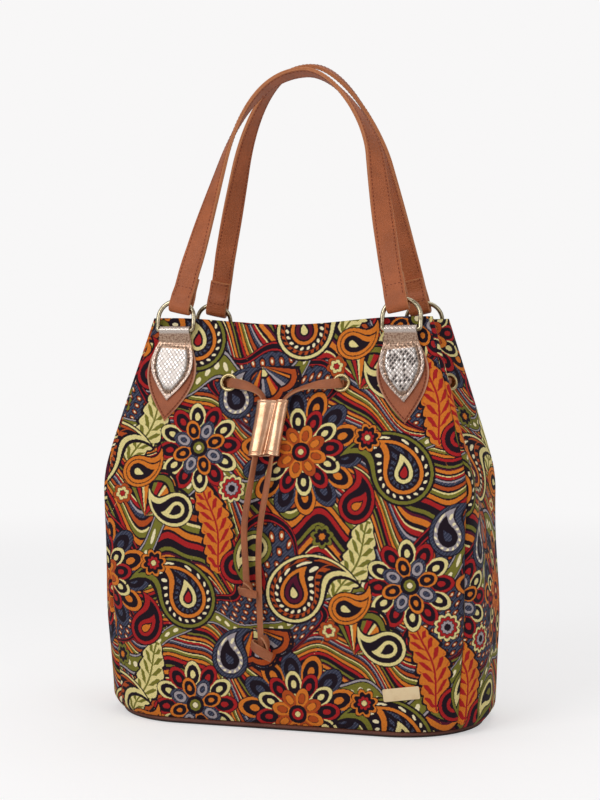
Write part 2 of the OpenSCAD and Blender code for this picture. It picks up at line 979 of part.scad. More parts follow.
front_panel();
back_panel();
left_gusset();
right_gusset();
base_panel();
base_piping();
base_board();
lining();
front_strap();
rear_strap();
front_left_ring();
front_right_ring();
rear_left_ring();
rear_right_ring();
front_left_leaf();
front_right_leaf();
rear_left_leaf();
rear_right_leaf();
front_left_tab();
front_right_tab();
rear_left_tab();
rear_right_tab();
front_eyelets();
rear_eyelets();
left_eyelets();
right_eyelets();
eyelet_washers();
drawcord();
left_cord_end();
right_cord_end();
left_knot();
right_knot();
cord_slider();
name_plate();
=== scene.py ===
import bpy, bmesh, math
from mathutils import Vector, Matrix


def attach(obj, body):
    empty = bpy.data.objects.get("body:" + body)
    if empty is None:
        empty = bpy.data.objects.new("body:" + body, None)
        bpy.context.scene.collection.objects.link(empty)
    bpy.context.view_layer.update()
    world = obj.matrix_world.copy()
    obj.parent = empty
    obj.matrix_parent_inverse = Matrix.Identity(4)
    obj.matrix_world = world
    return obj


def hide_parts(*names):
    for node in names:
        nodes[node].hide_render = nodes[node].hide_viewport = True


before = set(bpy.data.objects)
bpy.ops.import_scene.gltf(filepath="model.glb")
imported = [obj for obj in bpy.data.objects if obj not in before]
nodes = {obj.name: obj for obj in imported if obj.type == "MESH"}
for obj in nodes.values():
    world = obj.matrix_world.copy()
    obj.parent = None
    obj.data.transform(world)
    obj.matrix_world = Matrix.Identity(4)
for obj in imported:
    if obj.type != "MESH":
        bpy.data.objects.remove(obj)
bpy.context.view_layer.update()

mm = 0.001


# small maths, angles in degrees
def sine(a): return math.sin(math.radians(a))
def cosine(a): return math.cos(math.radians(a))
def unit(t): return max(0.0, min(1.0, t))
def ease(t): return t * t * (3 - 2 * t)
def mix(a, b, t): return a + (b - a) * t
def soft(a, b, t): return ease(unit((t - a) / (b - a)))
def bell(d, wide): return math.exp(-(d / wide) ** 2)
def ripple(a): return 0.5 + 0.5 * math.sin(a)
def crest(a): return 0.5 + 0.5 * math.cos(a)


# camera, set where the photograph was taken from
cameraSet = {"place": (0.33103, -1.21004, 0.2959), "pitch": 88.44, "yaw": 15.39, "lens": 67.3}

def makeCamera(p):
    turn = (math.radians(p["pitch"]), 0, math.radians(p["yaw"]))
    bpy.ops.object.camera_add(location=p["place"], rotation=turn)
    cam = bpy.context.object
    cam.name = "photoCamera"
    cam.data.lens = p["lens"]
    cam.data.sensor_width = 36
    cam.data.sensor_fit = "AUTO"
    cam.data.clip_start, cam.data.clip_end = 0.05, 30
    bpy.context.scene.camera = cam

makeCamera(cameraSet)
print("camera set")


# curves of the bag's body in millimetres, the same as the solid's
bodySet = {"tall": 330.0, "baseW": 302.0, "baseD": 140.0, "baseR": 65.1, "foot": 10.0, "footZ": 15.0,
        "footShare": 0.3, "bellyW": 325.5, "bellyZ": 72.0, "hipW": 310.5, "hipZ": 198.0, "hipSoft": 15.0,
        "rimW": 235.0, "rimD": 88.0, "rimR": 6.0, "rimDip": 6.0, "shoulder": 181.0, "shoulderSoft": 51.0,
        "fold": 28.0, "foldZ": 120.0, "gussetDip": 4.0, "swell": 5.0, "seamZ": 5.0, "crease": 0.76,
        "cloth": 1.8, "eyeZ": 277.0, "eyeX": 47.0, "hole": 5.8, "frontShare": 0.72, "sideShare": 0.66,
        "frontColumns": 150, "sideColumns": 92, "rows": 128}
b = bodySet
sideLean = (b["hipW"] - b["rimW"]) / 2 / (b["tall"] - b["hipZ"])
depthLean = (b["baseD"] / 2 + b["footShare"] * b["foot"] - b["rimD"] / 2) / (b["tall"] - b["shoulder"])
panelLean = math.degrees(math.atan(depthLean))
leanWay = Vector((0, -cosine(panelLean), sine(panelLean)))
flatTop = b["shoulder"] + b["shoulderSoft"]

def bend(z, level, softness):
    if z <= level - softness: return 0.0
    if z >= level + softness: return z - level
    return (z - level + softness) ** 2 / (4 * softness)

def footOut(z): return b["foot"] * sine(90 * unit(z / b["footZ"]))

def halfW(z):
    if z < b["bellyZ"]:
        w = mix(b["baseW"] / 2, b["bellyW"] / 2 - b["foot"], sine(90 * unit(z / b["bellyZ"])))
    else:
        w = mix(b["bellyW"], b["hipW"], soft(b["bellyZ"], b["hipZ"], z)) / 2 - b["foot"]
    return w + footOut(z) - sideLean * bend(z, b["hipZ"], b["hipSoft"])

def halfD(z):
    lean = depthLean * bend(z, b["shoulder"], b["shoulderSoft"])
    return b["baseD"] / 2 + b["footShare"] * footOut(z) - lean

def cornerR(z): return mix(b["baseR"], b["rimR"], ease(unit(z / (b["crease"] * b["tall"]))))
def foldIn(z): return b["fold"] * soft(b["foldZ"], b["tall"], z)

def swell(x, z):
    across = cosine(90 * unit(abs(x) / (halfW(z) - cornerR(z))))
    return b["swell"] * across ** 2 * sine(180 * unit(z / flatTop)) ** 2

def foldX(y, z):
    return halfW(z) - foldIn(z) * cosine(90 * unit(abs(y) / (halfD(z) - cornerR(z)))) ** 2

def onFront(x, level, q):  # local: along x, up the panel, out of it
    c, s = cosine(panelLean), sine(panelLean)
    return Vector((x + q[0], -halfD(level) + q[1] * s - q[2] * c, level + q[1] * c + q[2] * s))

# seat of a gusset eyelet: place and way out
eyeY = (halfD(b["eyeZ"]) - cornerR(b["eyeZ"])) / 2
eyeTurn = math.atan2(-(foldX(eyeY + 1, b["eyeZ"]) - foldX(eyeY - 1, b["eyeZ"])) / 2, 1)
eyeRise = (foldX(eyeY, b["eyeZ"] - 1) - foldX(eyeY, b["eyeZ"] + 1)) / 2
eyeTip = math.pi / 2 - math.atan(eyeRise * math.cos(eyeTurn))
sideSeat = Vector((foldX(eyeY, b["eyeZ"]), eyeY, b["eyeZ"]))
sideOut = Vector((math.sin(eyeTip) * math.cos(eyeTurn), math.sin(eyeTip) * math.sin(eyeTurn),
        math.cos(eyeTip)))


# shader maths: a wrapped socket that adds its own Math nodes
class Value:
    def __init__(self, finish, socket):
        self.finish, self.socket = finish, socket

    def math(self, operation, *others):
        return self.finish.node("ShaderNodeMath", {"operation": operation}, [self, *others])

    def behind(self, operation, other):
        return self.finish.node("ShaderNodeMath", {"operation": operation}, [other, self])

    def __add__(self, other): return self.math("ADD", other)
    def __radd__(self, other): return self.math("ADD", other)
    def __sub__(self, other): return self.math("SUBTRACT", other)
    def __rsub__(self, other): return self.behind("SUBTRACT", other)
    def __mul__(self, other): return self.math("MULTIPLY", other)
    def __rmul__(self, other): return self.math("MULTIPLY", other)
    def __truediv__(self, other): return self.math("DIVIDE", other)
    def __rtruediv__(self, other): return self.behind("DIVIDE", other)
    def __abs__(self): return self.math("ABSOLUTE")
    def __gt__(self, other): return self.math("GREATER_THAN", other)
    def __lt__(self, other): return self.math("LESS_THAN", other)
    def plus(self, gain, add): return self.math("MULTIPLY_ADD", gain, add)
    def floor(self): return self.math("FLOOR")
    def fract(self): return self.math("FRACT")
    def sin(self): return self.math("SINE")
    def cos(self): return self.math("COSINE")
    def exp(self): return self.math("EXPONENT")
    def high(self, other): return self.math("MAXIMUM", other)

    def step(self, start, end):
        return self.finish.node("ShaderNodeMapRange", {"interpolation_type": "SMOOTHSTEP"},
                [self, start, end, 0.0, 1.0])


def colour(r, g, b):
    lin = [c / 255 / 12.92 if c <= 10 else ((c / 255 + 0.055) / 1.055) ** 2.4 for c in (r, g, b)]
    return (*lin, 1.0)


class Finish:
    def __init__(self, name, **fixed):
        self.material = bpy.data.materials.new(name)
        self.material.use_nodes = True
        self.tree = self.material.node_tree
        self.shader = self.tree.nodes["Principled BSDF"]
        for key, value in fixed.items():
            self.shader.inputs[key.replace("_", " ")].default_value = value

    def node(self, kind, settings=None, sockets=None, out=0):
        made = self.tree.nodes.new(kind)
        for key, value in (settings or {}).items():
            if key == "stops":
                ramp = made.color_ramp
                ramp.interpolation = "CONSTANT"
                while len(ramp.elements) < len(value):
                    ramp.elements.new(0.5)
                for element, (place, tint) in zip(ramp.elements, value):
                    element.position = place
                for element, (place, tint) in zip(ramp.elements, value):
                    element.color = tint
            else:
                setattr(made, key, value)
        pairs = sockets.items() if isinstance(sockets, dict) else enumerate(sockets or [])
        for key, value in pairs:
            if isinstance(value, Value):
                self.tree.links.new(value.socket, made.inputs[key])
            elif value is not None:
                made.inputs[key].default_value = value
        return Value(self, made.outputs[out])

    def uv(self):
        return self.split(self.node("ShaderNodeUVMap", {"uv_map": "UVMap"}))

    def own(self, name):  # a value kept on the mesh
        return self.node("ShaderNodeAttribute", {"attribute_name": name}, None, 2)

    def place(self):
        return self.node("ShaderNodeTexCoord", None, None, 3)

    def split(self, vector):
        first = self.node("ShaderNodeSeparateXYZ", None, [vector])
        rest = first.socket.node.outputs
        return first, Value(self, rest[1]), Value(self, rest[2])

    def join(self, x, y, z=0.0):
        return self.node("ShaderNodeCombineXYZ", None, [x, y, z])

    def length(self, x, y):
        return self.node("ShaderNodeVectorMath", {"operation": "LENGTH"}, [self.join(x, y)], 1)

    def noise(self, vector, scale, detail=2.0, rough=0.5):
        return self.node("ShaderNodeTexNoise", None, {"Vector": vector, "Scale": scale, "Detail": detail,
                "Roughness": rough})

    def cells(self, vector, scale):
        return self.node("ShaderNodeTexVoronoi", None, {"Vector": vector, "Scale": scale})

    def dice(self, vector):
        return self.node("ShaderNodeTexWhiteNoise", {"noise_dimensions": "2D"}, {"Vector": vector})

    def tint(self, share, under, over):
        return self.node("ShaderNodeMix", {"data_type": "RGBA"}, {0: share, 6: under, 7: over}, 2)

    def lighten(self, under, value):
        return self.node("ShaderNodeHueSaturation", None, {"Value": value, "Color": under})

    def bands(self, value, stops):
        first = self.node("ShaderNodeValToRGB", {"stops": stops}, [value])
        return first, Value(self, first.socket.node.outputs[1])

    def bump(self, height, strength, distance):
        return self.node("ShaderNodeBump", None, {"Height": height, "Strength": strength,
                "Distance": distance})

    def to(self, **links):
        for key, value in links.items():
            self.tree.links.new(value.socket, self.shader.inputs[key.replace("_", " ")])
        return self.material


# the palette of the cloth
ink = colour(29, 17, 28)
slate = colour(42, 45, 66)
orange = colour(214, 120, 40)
rust = colour(178, 76, 30)
cream = colour(228, 212, 144)
red = colour(170, 32, 34)
olive = colour(120, 116, 44)
lilac = colour(164, 154, 158)
maroon = colour(88, 20, 44)
pale = colour(240, 226, 184)
clear = (0.0, 0.0, 0.0, 0.0)


# woven cloth of the body: layered flowers, curved drops, fans and leaf sprays over striped ribbons
clothSet = {"wide": 176.0, "tall": 208.0, "thread": 0.5, "outline": 0.055}

def jacquard(name):
    p = clothSet
    f = Finish(name, IOR=1.4, Specular_IOR_Level=0.25, Sheen_Weight=0.04, Sheen_Roughness=0.5)
    rawU, rawV, none = f.uv()
    fineU, fineV = rawU * 1000.0, rawV * 1000.0
    u, v = fineU.math("SNAP", p["thread"]), fineV.math("SNAP", p["thread"])
    whole = 2 * math.pi

    def spot(cx, cy):  # place of a motif in the half-drop repeat
        a = u.plus(1 / p["wide"], 0.5 - cx / p["wide"])
        c = v.plus(1 / p["tall"], 0.5 - cy / p["tall"])
        low = a.floor().plus(0.5, c)
        return a.fract().plus(p["wide"], -p["wide"] / 2), low.fract().plus(p["tall"], -p["tall"] / 2)

    def around(x, y, turn, side=1):
        return f.length(x, y), y.math("ARCTAN2", x).plus(side, -math.radians(turn) * side)

    def wrap(a):
        return a.math("WRAP", math.pi, -math.pi)

    def wave(value, long, shift=0.0):
        return value.plus(whole / long, shift).sin()

    def over(under, value, stops):  # nested bands laid on what is below
        tint, share = f.bands(value.plus(0.8, 0.0), [(place * 0.8, c) for place, c in stops])
        return f.tint(share, under, tint)

    def nest(*tints):  # bands with dark lines between, from the middle out
        stops, k = [], len(tints)
        for i, c in enumerate(tints):
            stops.append((i / k, c))
            stops.append(((i + 1) / k - p["outline"], ink))
        stops[-1] = (1.0 - p["outline"] * 1.3, ink)
        return stops + [(1.0, clear)]

    # ground: flowing ribbons of thin stripes, dark fields of seeds, a dotted band
    flow = wave(u, 118, 0.4).plus(15.0, v) + wave(v, 151, 1.1) * 11.0 + wave(u, 43, 2.0) * 3.0
    ribbon = (flow + u * 0.55).plus(1 / 38, 0.0).fract()
    tints = (ink, red, ink, orange, ink, olive, cream, ink, rust, ink, slate, lilac, ink, red, cream, ink,
            orange, maroon, ink, olive, ink)
    widths = (2.4, 2.4, 0.9, 2.4, 0.9, 2.0, 1.0, 1.2, 2.2, 1.0, 1.8, 1.0, 0.9, 2.0, 0.8, 1.6, 2.4, 1.2, 0.9,
            1.8, 0.9)
    stops = [(sum(widths[:i]) / sum(widths), c) for i, c in enumerate(tints)]
    ground, none = f.bands(ribbon, stops)
    sx, sy = (flow * 0.35 + u).plus(1 / 8.6, 0.0), (flow - u * 0.2).plus(1 / 7.2, 0.0)
    seed = f.length((sx + sy.floor() * 0.5).fract() - 0.5, sy.fract().plus(0.8, -0.4))
    seeds, none = f.bands(seed, [(0.0, pale), (0.11, rust), (0.24, ink), (0.34, slate)])
    field = wave(u, 147, 0.7) + wave(v, 171, 2.4) + wave(flow, 96) * 0.6
    cloth = f.tint(field > 0.95, ground, seeds)
    cloth = over(cloth, abs(field - 0.95), [(0.0, ink), (0.06, red), (0.1, ink), (0.13, clear)])
    band = (flow - u * 0.35).plus(1 / 104, 0.3).fract().plus(104.0, -52.0)
    cloth = over(cloth, abs(band) / 9.0, [(0.0, olive), (0.62, ink), (0.7, lilac), (0.86, ink), (1.0, clear)])
    dot = f.length((u + flow * 0.2).plus(1 / 8.0, 0.0).fract().plus(8.0, -4.0), band)
    cloth = f.tint(dot < 2.3, cloth, pale)

    # leaf spray: paired leaflets on a stem, on a scalloped ground
    def spray(under, cx, cy, turn, long, wide, back, leaf, vein):
        x, y = spot(cx, cy)
        c, s = cosine(turn), sine(turn)
        along, aside = x * c + y * s, y * c - x * s
        off = abs(aside + wave(along, 2 * long, math.pi / 2) * 3.0)
        ends = (along / long) * (along / long)
        scallop = abs((along + off * 0.7).plus(math.pi / 9, 0.0).cos()).plus(0.2, 0.8)
        edge = ((1.0 - ends).high(0.0).math("SQRT").plus(wide, 0.0) * scallop).high(0.05)
        rho = off / edge
        under = over(under, rho, [(0.0, back), (0.84, ink), (1.0, clear)])
        q = (along - off * 1.1).plus(1 / 9.0, 0.0).fract() - 0.5
        blade = abs(q) * 2.1 + abs(rho - 0.42) * 1.9
        inside = (rho < 0.8) * (ends < 0.94)
        under = f.tint((blade < 0.72) * inside, under, leaf)
        return f.tint((off < 0.8) * inside, under, vein)

    for row in (
            (92, 178, 66, 34, 15, cream, olive, olive),
            (152, 96, 104, 36, 16, orange, red, red)):
        cloth = spray(cloth, *row)

    # layered flower: rings of round petals, the inner ones over the outer ones
    def bloom(under, cx, cy, turn, rings, heart):
        x, y = spot(cx, cy)
        r, a = around(x, y, turn)
        for count, middle, long, wide, shift, first, second in rings:
            q = a.plus(count / whole, shift)
            off = q.fract().plus(whole / count, -math.pi / count) * r
            rho = f.length(r.plus(1 / long, -middle / long), off / wide)
            odd = (q.floor() * 0.5).fract() > 0.25
            even, share = f.bands(rho.plus(0.8, 0.0), [(at * 0.8, c) for at, c in nest(*first)])
            other, none = f.bands(rho.plus(0.8, 0.0), [(at * 0.8, c) for at, c in nest(*second)])
            under = f.tint(share, under, f.tint(odd, even, other))
        return over(under, r / heart[0], nest(*heart[1:]))

    for row in (
            (46, 54, 8, ((14, 36, 14.5, 9.4, 0.0, (orange, ink, orange), (slate, ink, slate)),
                         (12, 24, 11.5, 7.6, 0.5, (red, ink, red), (cream, ink, cream)),
                         (8, 13, 9.0, 6.0, 0.0, (orange, rust), (rust, orange))), (7.5, cream, red, ink)),
            (136, 160, 20, ((12, 25, 11.5, 7.8, 0.0, (cream, ink, cream), (red, ink, red)),
                            (8, 14.5, 9.0, 6.6, 0.5, (orange, ink, orange), (slate, lilac, slate))),
             (7.5, pale, olive, ink))):
        cloth = bloom(cloth, *row)

    # fan with radial stripes
    def fan(under, cx, cy, turn, size, spread, rays, stripes, tints):
        x, y = spot(cx, cy)
        r, a = around(x, y, turn)
        a = wrap(a)
        rho = r / abs(a.plus(rays / 2, 0.0).cos()).plus(0.12 * size, 0.88 * size)
        shape = rho.high(abs(a) / math.radians(spread))
        under = over(under, shape, [(0.0, ink), (1.0, clear)])
        ray, none = f.bands(a.plus(rays / whole, 0.5).fract(), stripes)
        under = f.tint(shape < 0.93, under, ray)
        return over(under, rho.high(shape * 0.94), tints)

    rays = [(0.0, ink), (0.1, orange), (0.32, cream), (0.44, ink), (0.52, red), (0.74, olive), (0.9, ink)]
    cool = [(0.0, ink), (0.1, lilac), (0.28, slate), (0.5, ink), (0.56, orange), (0.82, red), (0.93, ink)]
    for row in (
            (92, 104, 60, 42, 62, 9, rays, [(0.0, red), (0.22, ink), (0.28, clear), (0.72, ink),
                (0.77, olive), (0.87, ink), (0.91, clear)]),
            (10, 122, -70, 36, 70, 8, cool, [(0.0, cream), (0.24, ink), (0.3, clear), (0.7, ink),
                (0.75, rust), (0.87, ink), (0.92, clear)])):
        cloth = fan(cloth, *row)

    # curved drops, large and small, with beads and bars in their bands
    def drop(under, cx, cy, turn, size, curl, side, tints, beads=None, bars=None):
        x, y = spot(cx, cy)
        r, a = around(x, y, turn, side)
        bent = wrap(r.plus(-curl / size, a))
        rho = r / abs(bent).plus(-2.4, 0.0).exp().plus(1.3 * size, size)
        under = over(under, rho, nest(*tints))
        if bars:
            inner, outer, count, tint = bars
            under = f.tint((bent.plus(count, 0.0).sin() > 0.1) * (rho > inner) * (rho < outer), under, tint)
        if beads:
            ring, count, big, tint = beads
            bx = bent.plus(count / whole, 0.0).fract().plus(whole / count, -math.pi / count) * rho
            under = f.tint(f.length(bx, rho - ring) < big, under, tint)
        return under

    for row in (
            (130, 38, 74, 25, 0.75, 1, (red, cream, slate, orange, ink, olive), (0.72, 19, 0.055, pale),
                (0.34, 0.46, 16, ink)),
            (44, 150, 112, 24, 0.8, -1, (cream, maroon, orange, ink, rust, cream), (0.58, 17, 0.06, pale),
                (0.69, 0.79, 22, ink)),
            (92, 12, 20, 14, 0.6, 1, (orange, red, ink, red)),
            (120, 110, -128, 14, 0.7, -1, (ink, cream, ink, cream)),
            (166, 198, 140, 15, 0.7, -1, (slate, ink, lilac, slate), (0.62, 13, 0.07, pale)),
            (84, 140, -36, 13, 0.65, 1, (cream, ink, orange, orange)),
            (172, 66, 48, 14, 0.7, -1, (ink, red, ink, red)),
            (12, 186, 168, 14, 0.7, 1, (olive, ink, cream, olive))):
        cloth = drop(cloth, *row)

    # rosettes
    def rosette(under, cx, cy, size, petals, deep, tints):
        x, y = spot(cx, cy)
        r, a = around(x, y, 15)
        rho = r / abs(a.plus(petals / 2, 0.0).cos()).plus(deep * size, (1 - deep) * size)
        return over(under, rho, nest(*tints))

    for row in (
            (100, 66, 12, 8, 0.28, (cream, red, ink, orange)),
            (72, 122, 9, 6, 0.3, (red, cream, rust)),
            (166, 128, 12, 10, 0.2, (ink, lilac, red, cream)),
            (66, 196, 10, 7, 0.3, (orange, ink, olive))):
        cloth = rosette(cloth, *row)

    # threads: every crossing a little different, the blue ones flecked with pale threads
    grain = f.dice(f.join(u, v))
    twill = (fineU + fineV).plus(1 / 1.9, 0.0).fract() * (fineU - fineV).plus(1 / 3.1, 0.0).fract()
    mottle = f.noise(f.join(fineU, fineV), 0.75, 2.0)
    worn = f.noise(f.join(fineU, fineV), 0.03, 2.0)
    warp = fineU.plus(whole / 1.5, 0.0).sin() * fineV.plus(whole / 1.7, 0.0).sin()
    blues, reds = [f.node("ShaderNodeSeparateColor", None, [cloth], out) for out in (2, 0)]
    blue = blues - reds
    cloth = f.lighten(cloth, grain * 0.24 + mottle * 0.46 + worn * 0.18 + warp * 0.26 + 0.7)
    cloth = f.tint((blue > 0.02) * (twill > 0.3) * 0.5, cloth, colour(122, 126, 146))
    relief = warp * 0.5 + grain * 0.35 + mottle
    return f.to(Base_Color=cloth, Roughness=grain.plus(0.16, 0.76), Normal=f.bump(relief, 0.4, 0.0006))


# leathers, metals, thread and lining
def leather(name, base, edge, rough=0.46, edgeAt=None, coat=0.1, cutAt=None, shadowBelow=None):
    f = Finish(name, IOR=1.46, Coat_Roughness=0.4, Specular_IOR_Level=0.4)
    spot = f.place()
    broad = f.noise(spot, 60.0, 3.0)
    fine = f.noise(spot, 900.0, 2.0)
    pores = f.cells(spot, 1050.0)
    skin = f.lighten(base, broad * 0.7 + fine * 0.3 + 0.5)
    if edgeAt:  # paler cut edges beyond this distance across the strip
        along, aside, none = f.uv()
        skin = f.tint(abs(aside).step(edgeAt[0], edgeAt[1]) * 0.7, skin, edge)
        if cutAt:  # and at the strip's two ends
            skin = f.tint((along < cutAt) * 0.8, skin, edge)
    if shadowBelow:  # painted contact shadow: dark below this height
        x, y, z = f.split(spot)
        skin = f.tint((1.0 - z.step(shadowBelow[0], shadowBelow[1])) * 0.9, skin, colour(24, 14, 12))
    height = pores * 0.8 + fine * 0.6 + broad * 0.5
    return f.to(Base_Color=skin, Roughness=broad.plus(0.24, rough - 0.12),
            Coat_Weight=broad.plus(0.1, coat - 0.05), Normal=f.bump(height, 0.7, 0.0006))

def metal(name, base, dark, rough, brushed=False, full=1.0):
    f = Finish(name, Metallic=full)
    spot = f.place()
    cloud = f.noise(spot, 160.0, 4.0, 0.6)
    scuff = f.noise(spot, 1400.0, 2.0)
    if brushed:
        x, y, z = f.split(spot)
        scuff = f.noise(f.join(x * 60.0, y * 60.0, z * 2600.0), 1.0, 2.0)
    skin = f.tint(cloud.step(0.42, 0.72), base, dark)
    return f.to(Base_Color=skin, Roughness=scuff.plus(0.14, rough - 0.07) + cloud * 0.08,
            Normal=f.bump(scuff, 0.06, 0.0002))

def foilLeather(name):
    f = Finish(name, IOR=1.45, Coat_Roughness=0.2)
    spot = f.place()
    broad = f.noise(spot, 90.0, 3.0)
    fine = f.noise(spot, 1100.0, 3.0)
    skin = f.tint(broad.step(0.3, 0.75), colour(240, 192, 156), colour(220, 160, 120))
    skin = f.tint(fine.step(0.66, 0.8) * 0.25, skin, colour(160, 96, 62))
    return f.to(Base_Color=skin, Metallic=broad.plus(0.15, 0.72), Roughness=fine.plus(0.16, 0.16),
            Coat_Weight=broad.plus(0.3, 0.1), Normal=f.bump(fine * 0.4 + broad, 0.2, 0.0005))

def scaleLeather(name, dusk):
    f = Finish(name, IOR=1.5, Coat_Roughness=0.15)
    along, aside, none = f.uv()
    rim, rise = f.own("rim"), f.own("rise")  # millimetres in from the cut edge, and up from the ring's bar
    p, q = (along + aside * 1.2).plus(1 / 0.0042, 0.0), (along - aside * 1.2).plus(1 / 0.0042, 0.0)
    cell = f.join(p.floor(), q.floor())
    luck = f.dice(cell)
    line = abs(p.fract() - 0.5).high(abs(q.fract() - 0.5))
    patch = f.noise(cell, 0.24, 2.0, 0.6)
    dark = (patch + luck * 0.2).step(1.0 - dusk, 1.02 - dusk) * (1.0 - line.step(0.3, 0.38))
    skin = f.tint(luck, colour(206, 200, 196), colour(190, 180, 173))
    skin = f.tint(line.step(0.36, 0.46) * (0.35 + dusk), skin, colour(122, 104, 94))
    skin = f.tint(dark * 0.95, skin, colour(44, 32, 30))
    blotch = f.noise(f.join(along, aside), 800.0, 3.0, 0.7)
    speck = f.tint(blotch.step(0.46, 0.6), colour(190, 156, 132), colour(74, 50, 40))
    margin = f.tint(blotch.step(0.5, 0.62) * 0.7, colour(182, 163, 151), colour(122, 92, 76))
    # colours of the stitched zone under the fold, darkened as painted shadow
    neck = f.tint(blotch.step(0.42, 0.62), colour(204, 172, 148), colour(136, 98, 76))
    # sewn groove inside the margin: brown speckle, darkened partly as painted shade in the groove
    skin = f.tint(1.0 - rim.step(4.2, 5.4), skin, speck)
    skin = f.tint(1.0 - rim.step(2.2, 2.9), skin, margin)
    # painted shadow: a darker speckled zone under the fold, over its stitched row, darkened by the shadow
    skin = f.tint(rise.step(-16.2, -14.6), skin, neck)
    # painted highlight: the fold itself, plain and pale where it turns over the bar
    skin = f.tint(rise.step(-4.0, -1.5) * 0.85, skin, colour(222, 210, 201))
    height = (0.5 - line).step(0.0, 0.25) + luck * 0.2
    return f.to(Base_Color=skin, Metallic=dark.plus(-0.4, 0.85), Roughness=luck.plus(0.14, 0.2) + dark * 0.2,
            Coat_Weight=luck.plus(0.2, 0.15), Normal=f.bump(height, 0.35, 0.0003))

def cotton(name, base, dark):
    f = Finish(name, Sheen_Weight=0.08)
    spot = f.place()
    x, y, z = f.split(spot)
    thread = 2 * math.pi / 0.0011
    weave = (x.plus(thread, 0.0) + y.plus(thread, 0.0)).sin() * z.plus(thread, 0.0).sin()
    broad = f.noise(spot, 30.0, 3.0)
    slub = f.noise(f.join(x * 40.0, y * 40.0, z * 900.0), 1.0, 2.0)
    skin = f.lighten(f.tint(broad.step(0.3, 0.75), base, dark), slub.plus(0.3, 0.84))
    return f.to(Base_Color=skin, Roughness=broad.plus(0.1, 0.84),
            Normal=f.bump(weave * 0.5 + slub, 0.3, 0.0004))

def thread(name, base):
    f = Finish(name, Roughness=0.7, Specular_IOR_Level=0.3)
    ply = f.noise(f.place(), 2200.0, 1.0)
    return f.to(Base_Color=f.lighten(base, ply.plus(0.5, 0.75)), Normal=f.bump(ply, 0.4, 0.0002))

jacquardCloth = jacquard("jacquardCloth")
strapLeather = leather("strapLeather", colour(180, 98, 56), colour(206, 134, 86), edgeAt=(0.0080, 0.0088),
        cutAt=0.0007)
leafLeather = leather("leafLeather", colour(170, 93, 57), colour(214, 168, 138), edgeAt=(0.93, 0.975))
laceLeather = leather("laceLeather", colour(168, 97, 60), colour(208, 148, 106), edgeAt=(0.42, 0.5))
# base leather darker than its own tone: partly painted shade under the bag
baseLeather = leather("baseLeather", colour(48, 28, 21), colour(48, 28, 21), rough=0.55)
# piping darkened at its foot as painted contact shadow
pipingLeather = leather("pipingLeather", colour(108, 60, 46), colour(108, 60, 46), rough=0.5,
        shadowBelow=(0.0016, 0.003))
brass = metal("antiqueBrass", colour(206, 194, 164), colour(116, 98, 72), 0.2)
paleBrass = metal("paleBrass", colour(214, 194, 142), colour(160, 134, 88), 0.24)
plateGold = metal("plateGold", colour(252, 226, 180), colour(244, 214, 166), 0.3, True, 0.3)
copper = foilLeather("copperLeather")
scalesClean = scaleLeather("scalesClean", 0.2)
scalesDark = scaleLeather("scalesDark", 0.4)
liningCotton = cotton("liningCotton", colour(196, 176, 146), colour(176, 154, 124))
boardCloth = cotton("boardCloth", colour(178, 158, 128), colour(160, 138, 108))
tanThread = thread("tanThread", colour(122, 56, 33))
darkThread = thread("darkThread", colour(92, 66, 52))
print("materials made")


# working helpers
def only(*objs):
    if bpy.context.object and bpy.context.object.mode != "OBJECT":
        bpy.ops.object.mode_set(mode="OBJECT")
    bpy.ops.object.select_all(action="DESELECT")
    for o in objs:
        o.select_set(True)
    bpy.context.view_layer.objects.active = objs[0] if objs else None

def apply(obj, kind, **settings):
    only(obj)
    mod = obj.modifiers.new(kind.title(), kind)
    for key, value in settings.items():
        setattr(mod, key, value)
    bpy.ops.object.modifier_apply(modifier=mod.name)

def thicken(obj, thick, **more): apply(obj, "SOLIDIFY", thickness=thick * mm, offset=-1.0, **more)

def roundEdges(obj, width, angle, segments=2):
    apply(obj, "BEVEL", width=width * mm, segments=segments, limit_method="ANGLE",
            angle_limit=math.radians(angle))

def runLengths(points):  # way walked to each place along a line
    out = [0.0]
    for a, c in zip(points, points[1:]):
        out.append(out[-1] + (c - a).length)
    return out

def inEdit(obj, *work):  # each item: an operator and its settings
    only(obj)
    bpy.ops.object.mode_set(mode="EDIT")
    bpy.ops.mesh.select_all(action="SELECT")
    for call, settings in work:
        call(**settings)
    bpy.ops.object.mode_set(mode="OBJECT")

# a grid laid on a form, which gives place and chart from 0 to 1 both ways
def gridPiece(name, columns, rows, form, marks=()):
    only()
    bpy.ops.mesh.primitive_grid_add(x_subdivisions=columns, y_subdivisions=rows, size=2, location=(0, 0, 0))
    obj = bpy.context.object
    obj.name = obj.data.name = name
    mesh = obj.data
    laid = [form((v.co.x + 1) / 2, (v.co.y + 1) / 2) for v in mesh.vertices]
    layer = mesh.uv_layers.active
    layer.name = "UVMap"
    for loop in mesh.loops:
        layer.data[loop.index].uv = laid[loop.vertex_index][1]
    for i, mark in enumerate(marks):
        kept = mesh.attributes.new(mark, "FLOAT", "POINT")
        for v in mesh.vertices:
            kept.data[v.index].value = laid[v.index][2 + i]
    for v in mesh.vertices:
        v.co = Vector(laid[v.index][0]) * mm
    return obj

def faceOut(obj, near, out):  # turns the faces if the one nearest a place looks the wrong way
    face = min(obj.data.polygons, key=lambda f: (f.center - Vector(near) * mm).length)
    if face.normal.dot(Vector(out)) < 0:
        inEdit(obj, (bpy.ops.mesh.flip_normals, {}))

def closeTube(obj):
    edit = bpy.ops.mesh
    inEdit(obj, (edit.remove_doubles, {"threshold": 0.00002}), (edit.select_all, {"action": "DESELECT"}),
            (edit.select_non_manifold, {"extend": False}), (edit.edge_face_add, {}),
            (edit.select_all, {"action": "SELECT"}), (edit.normals_make_consistent, {"inside": False}))

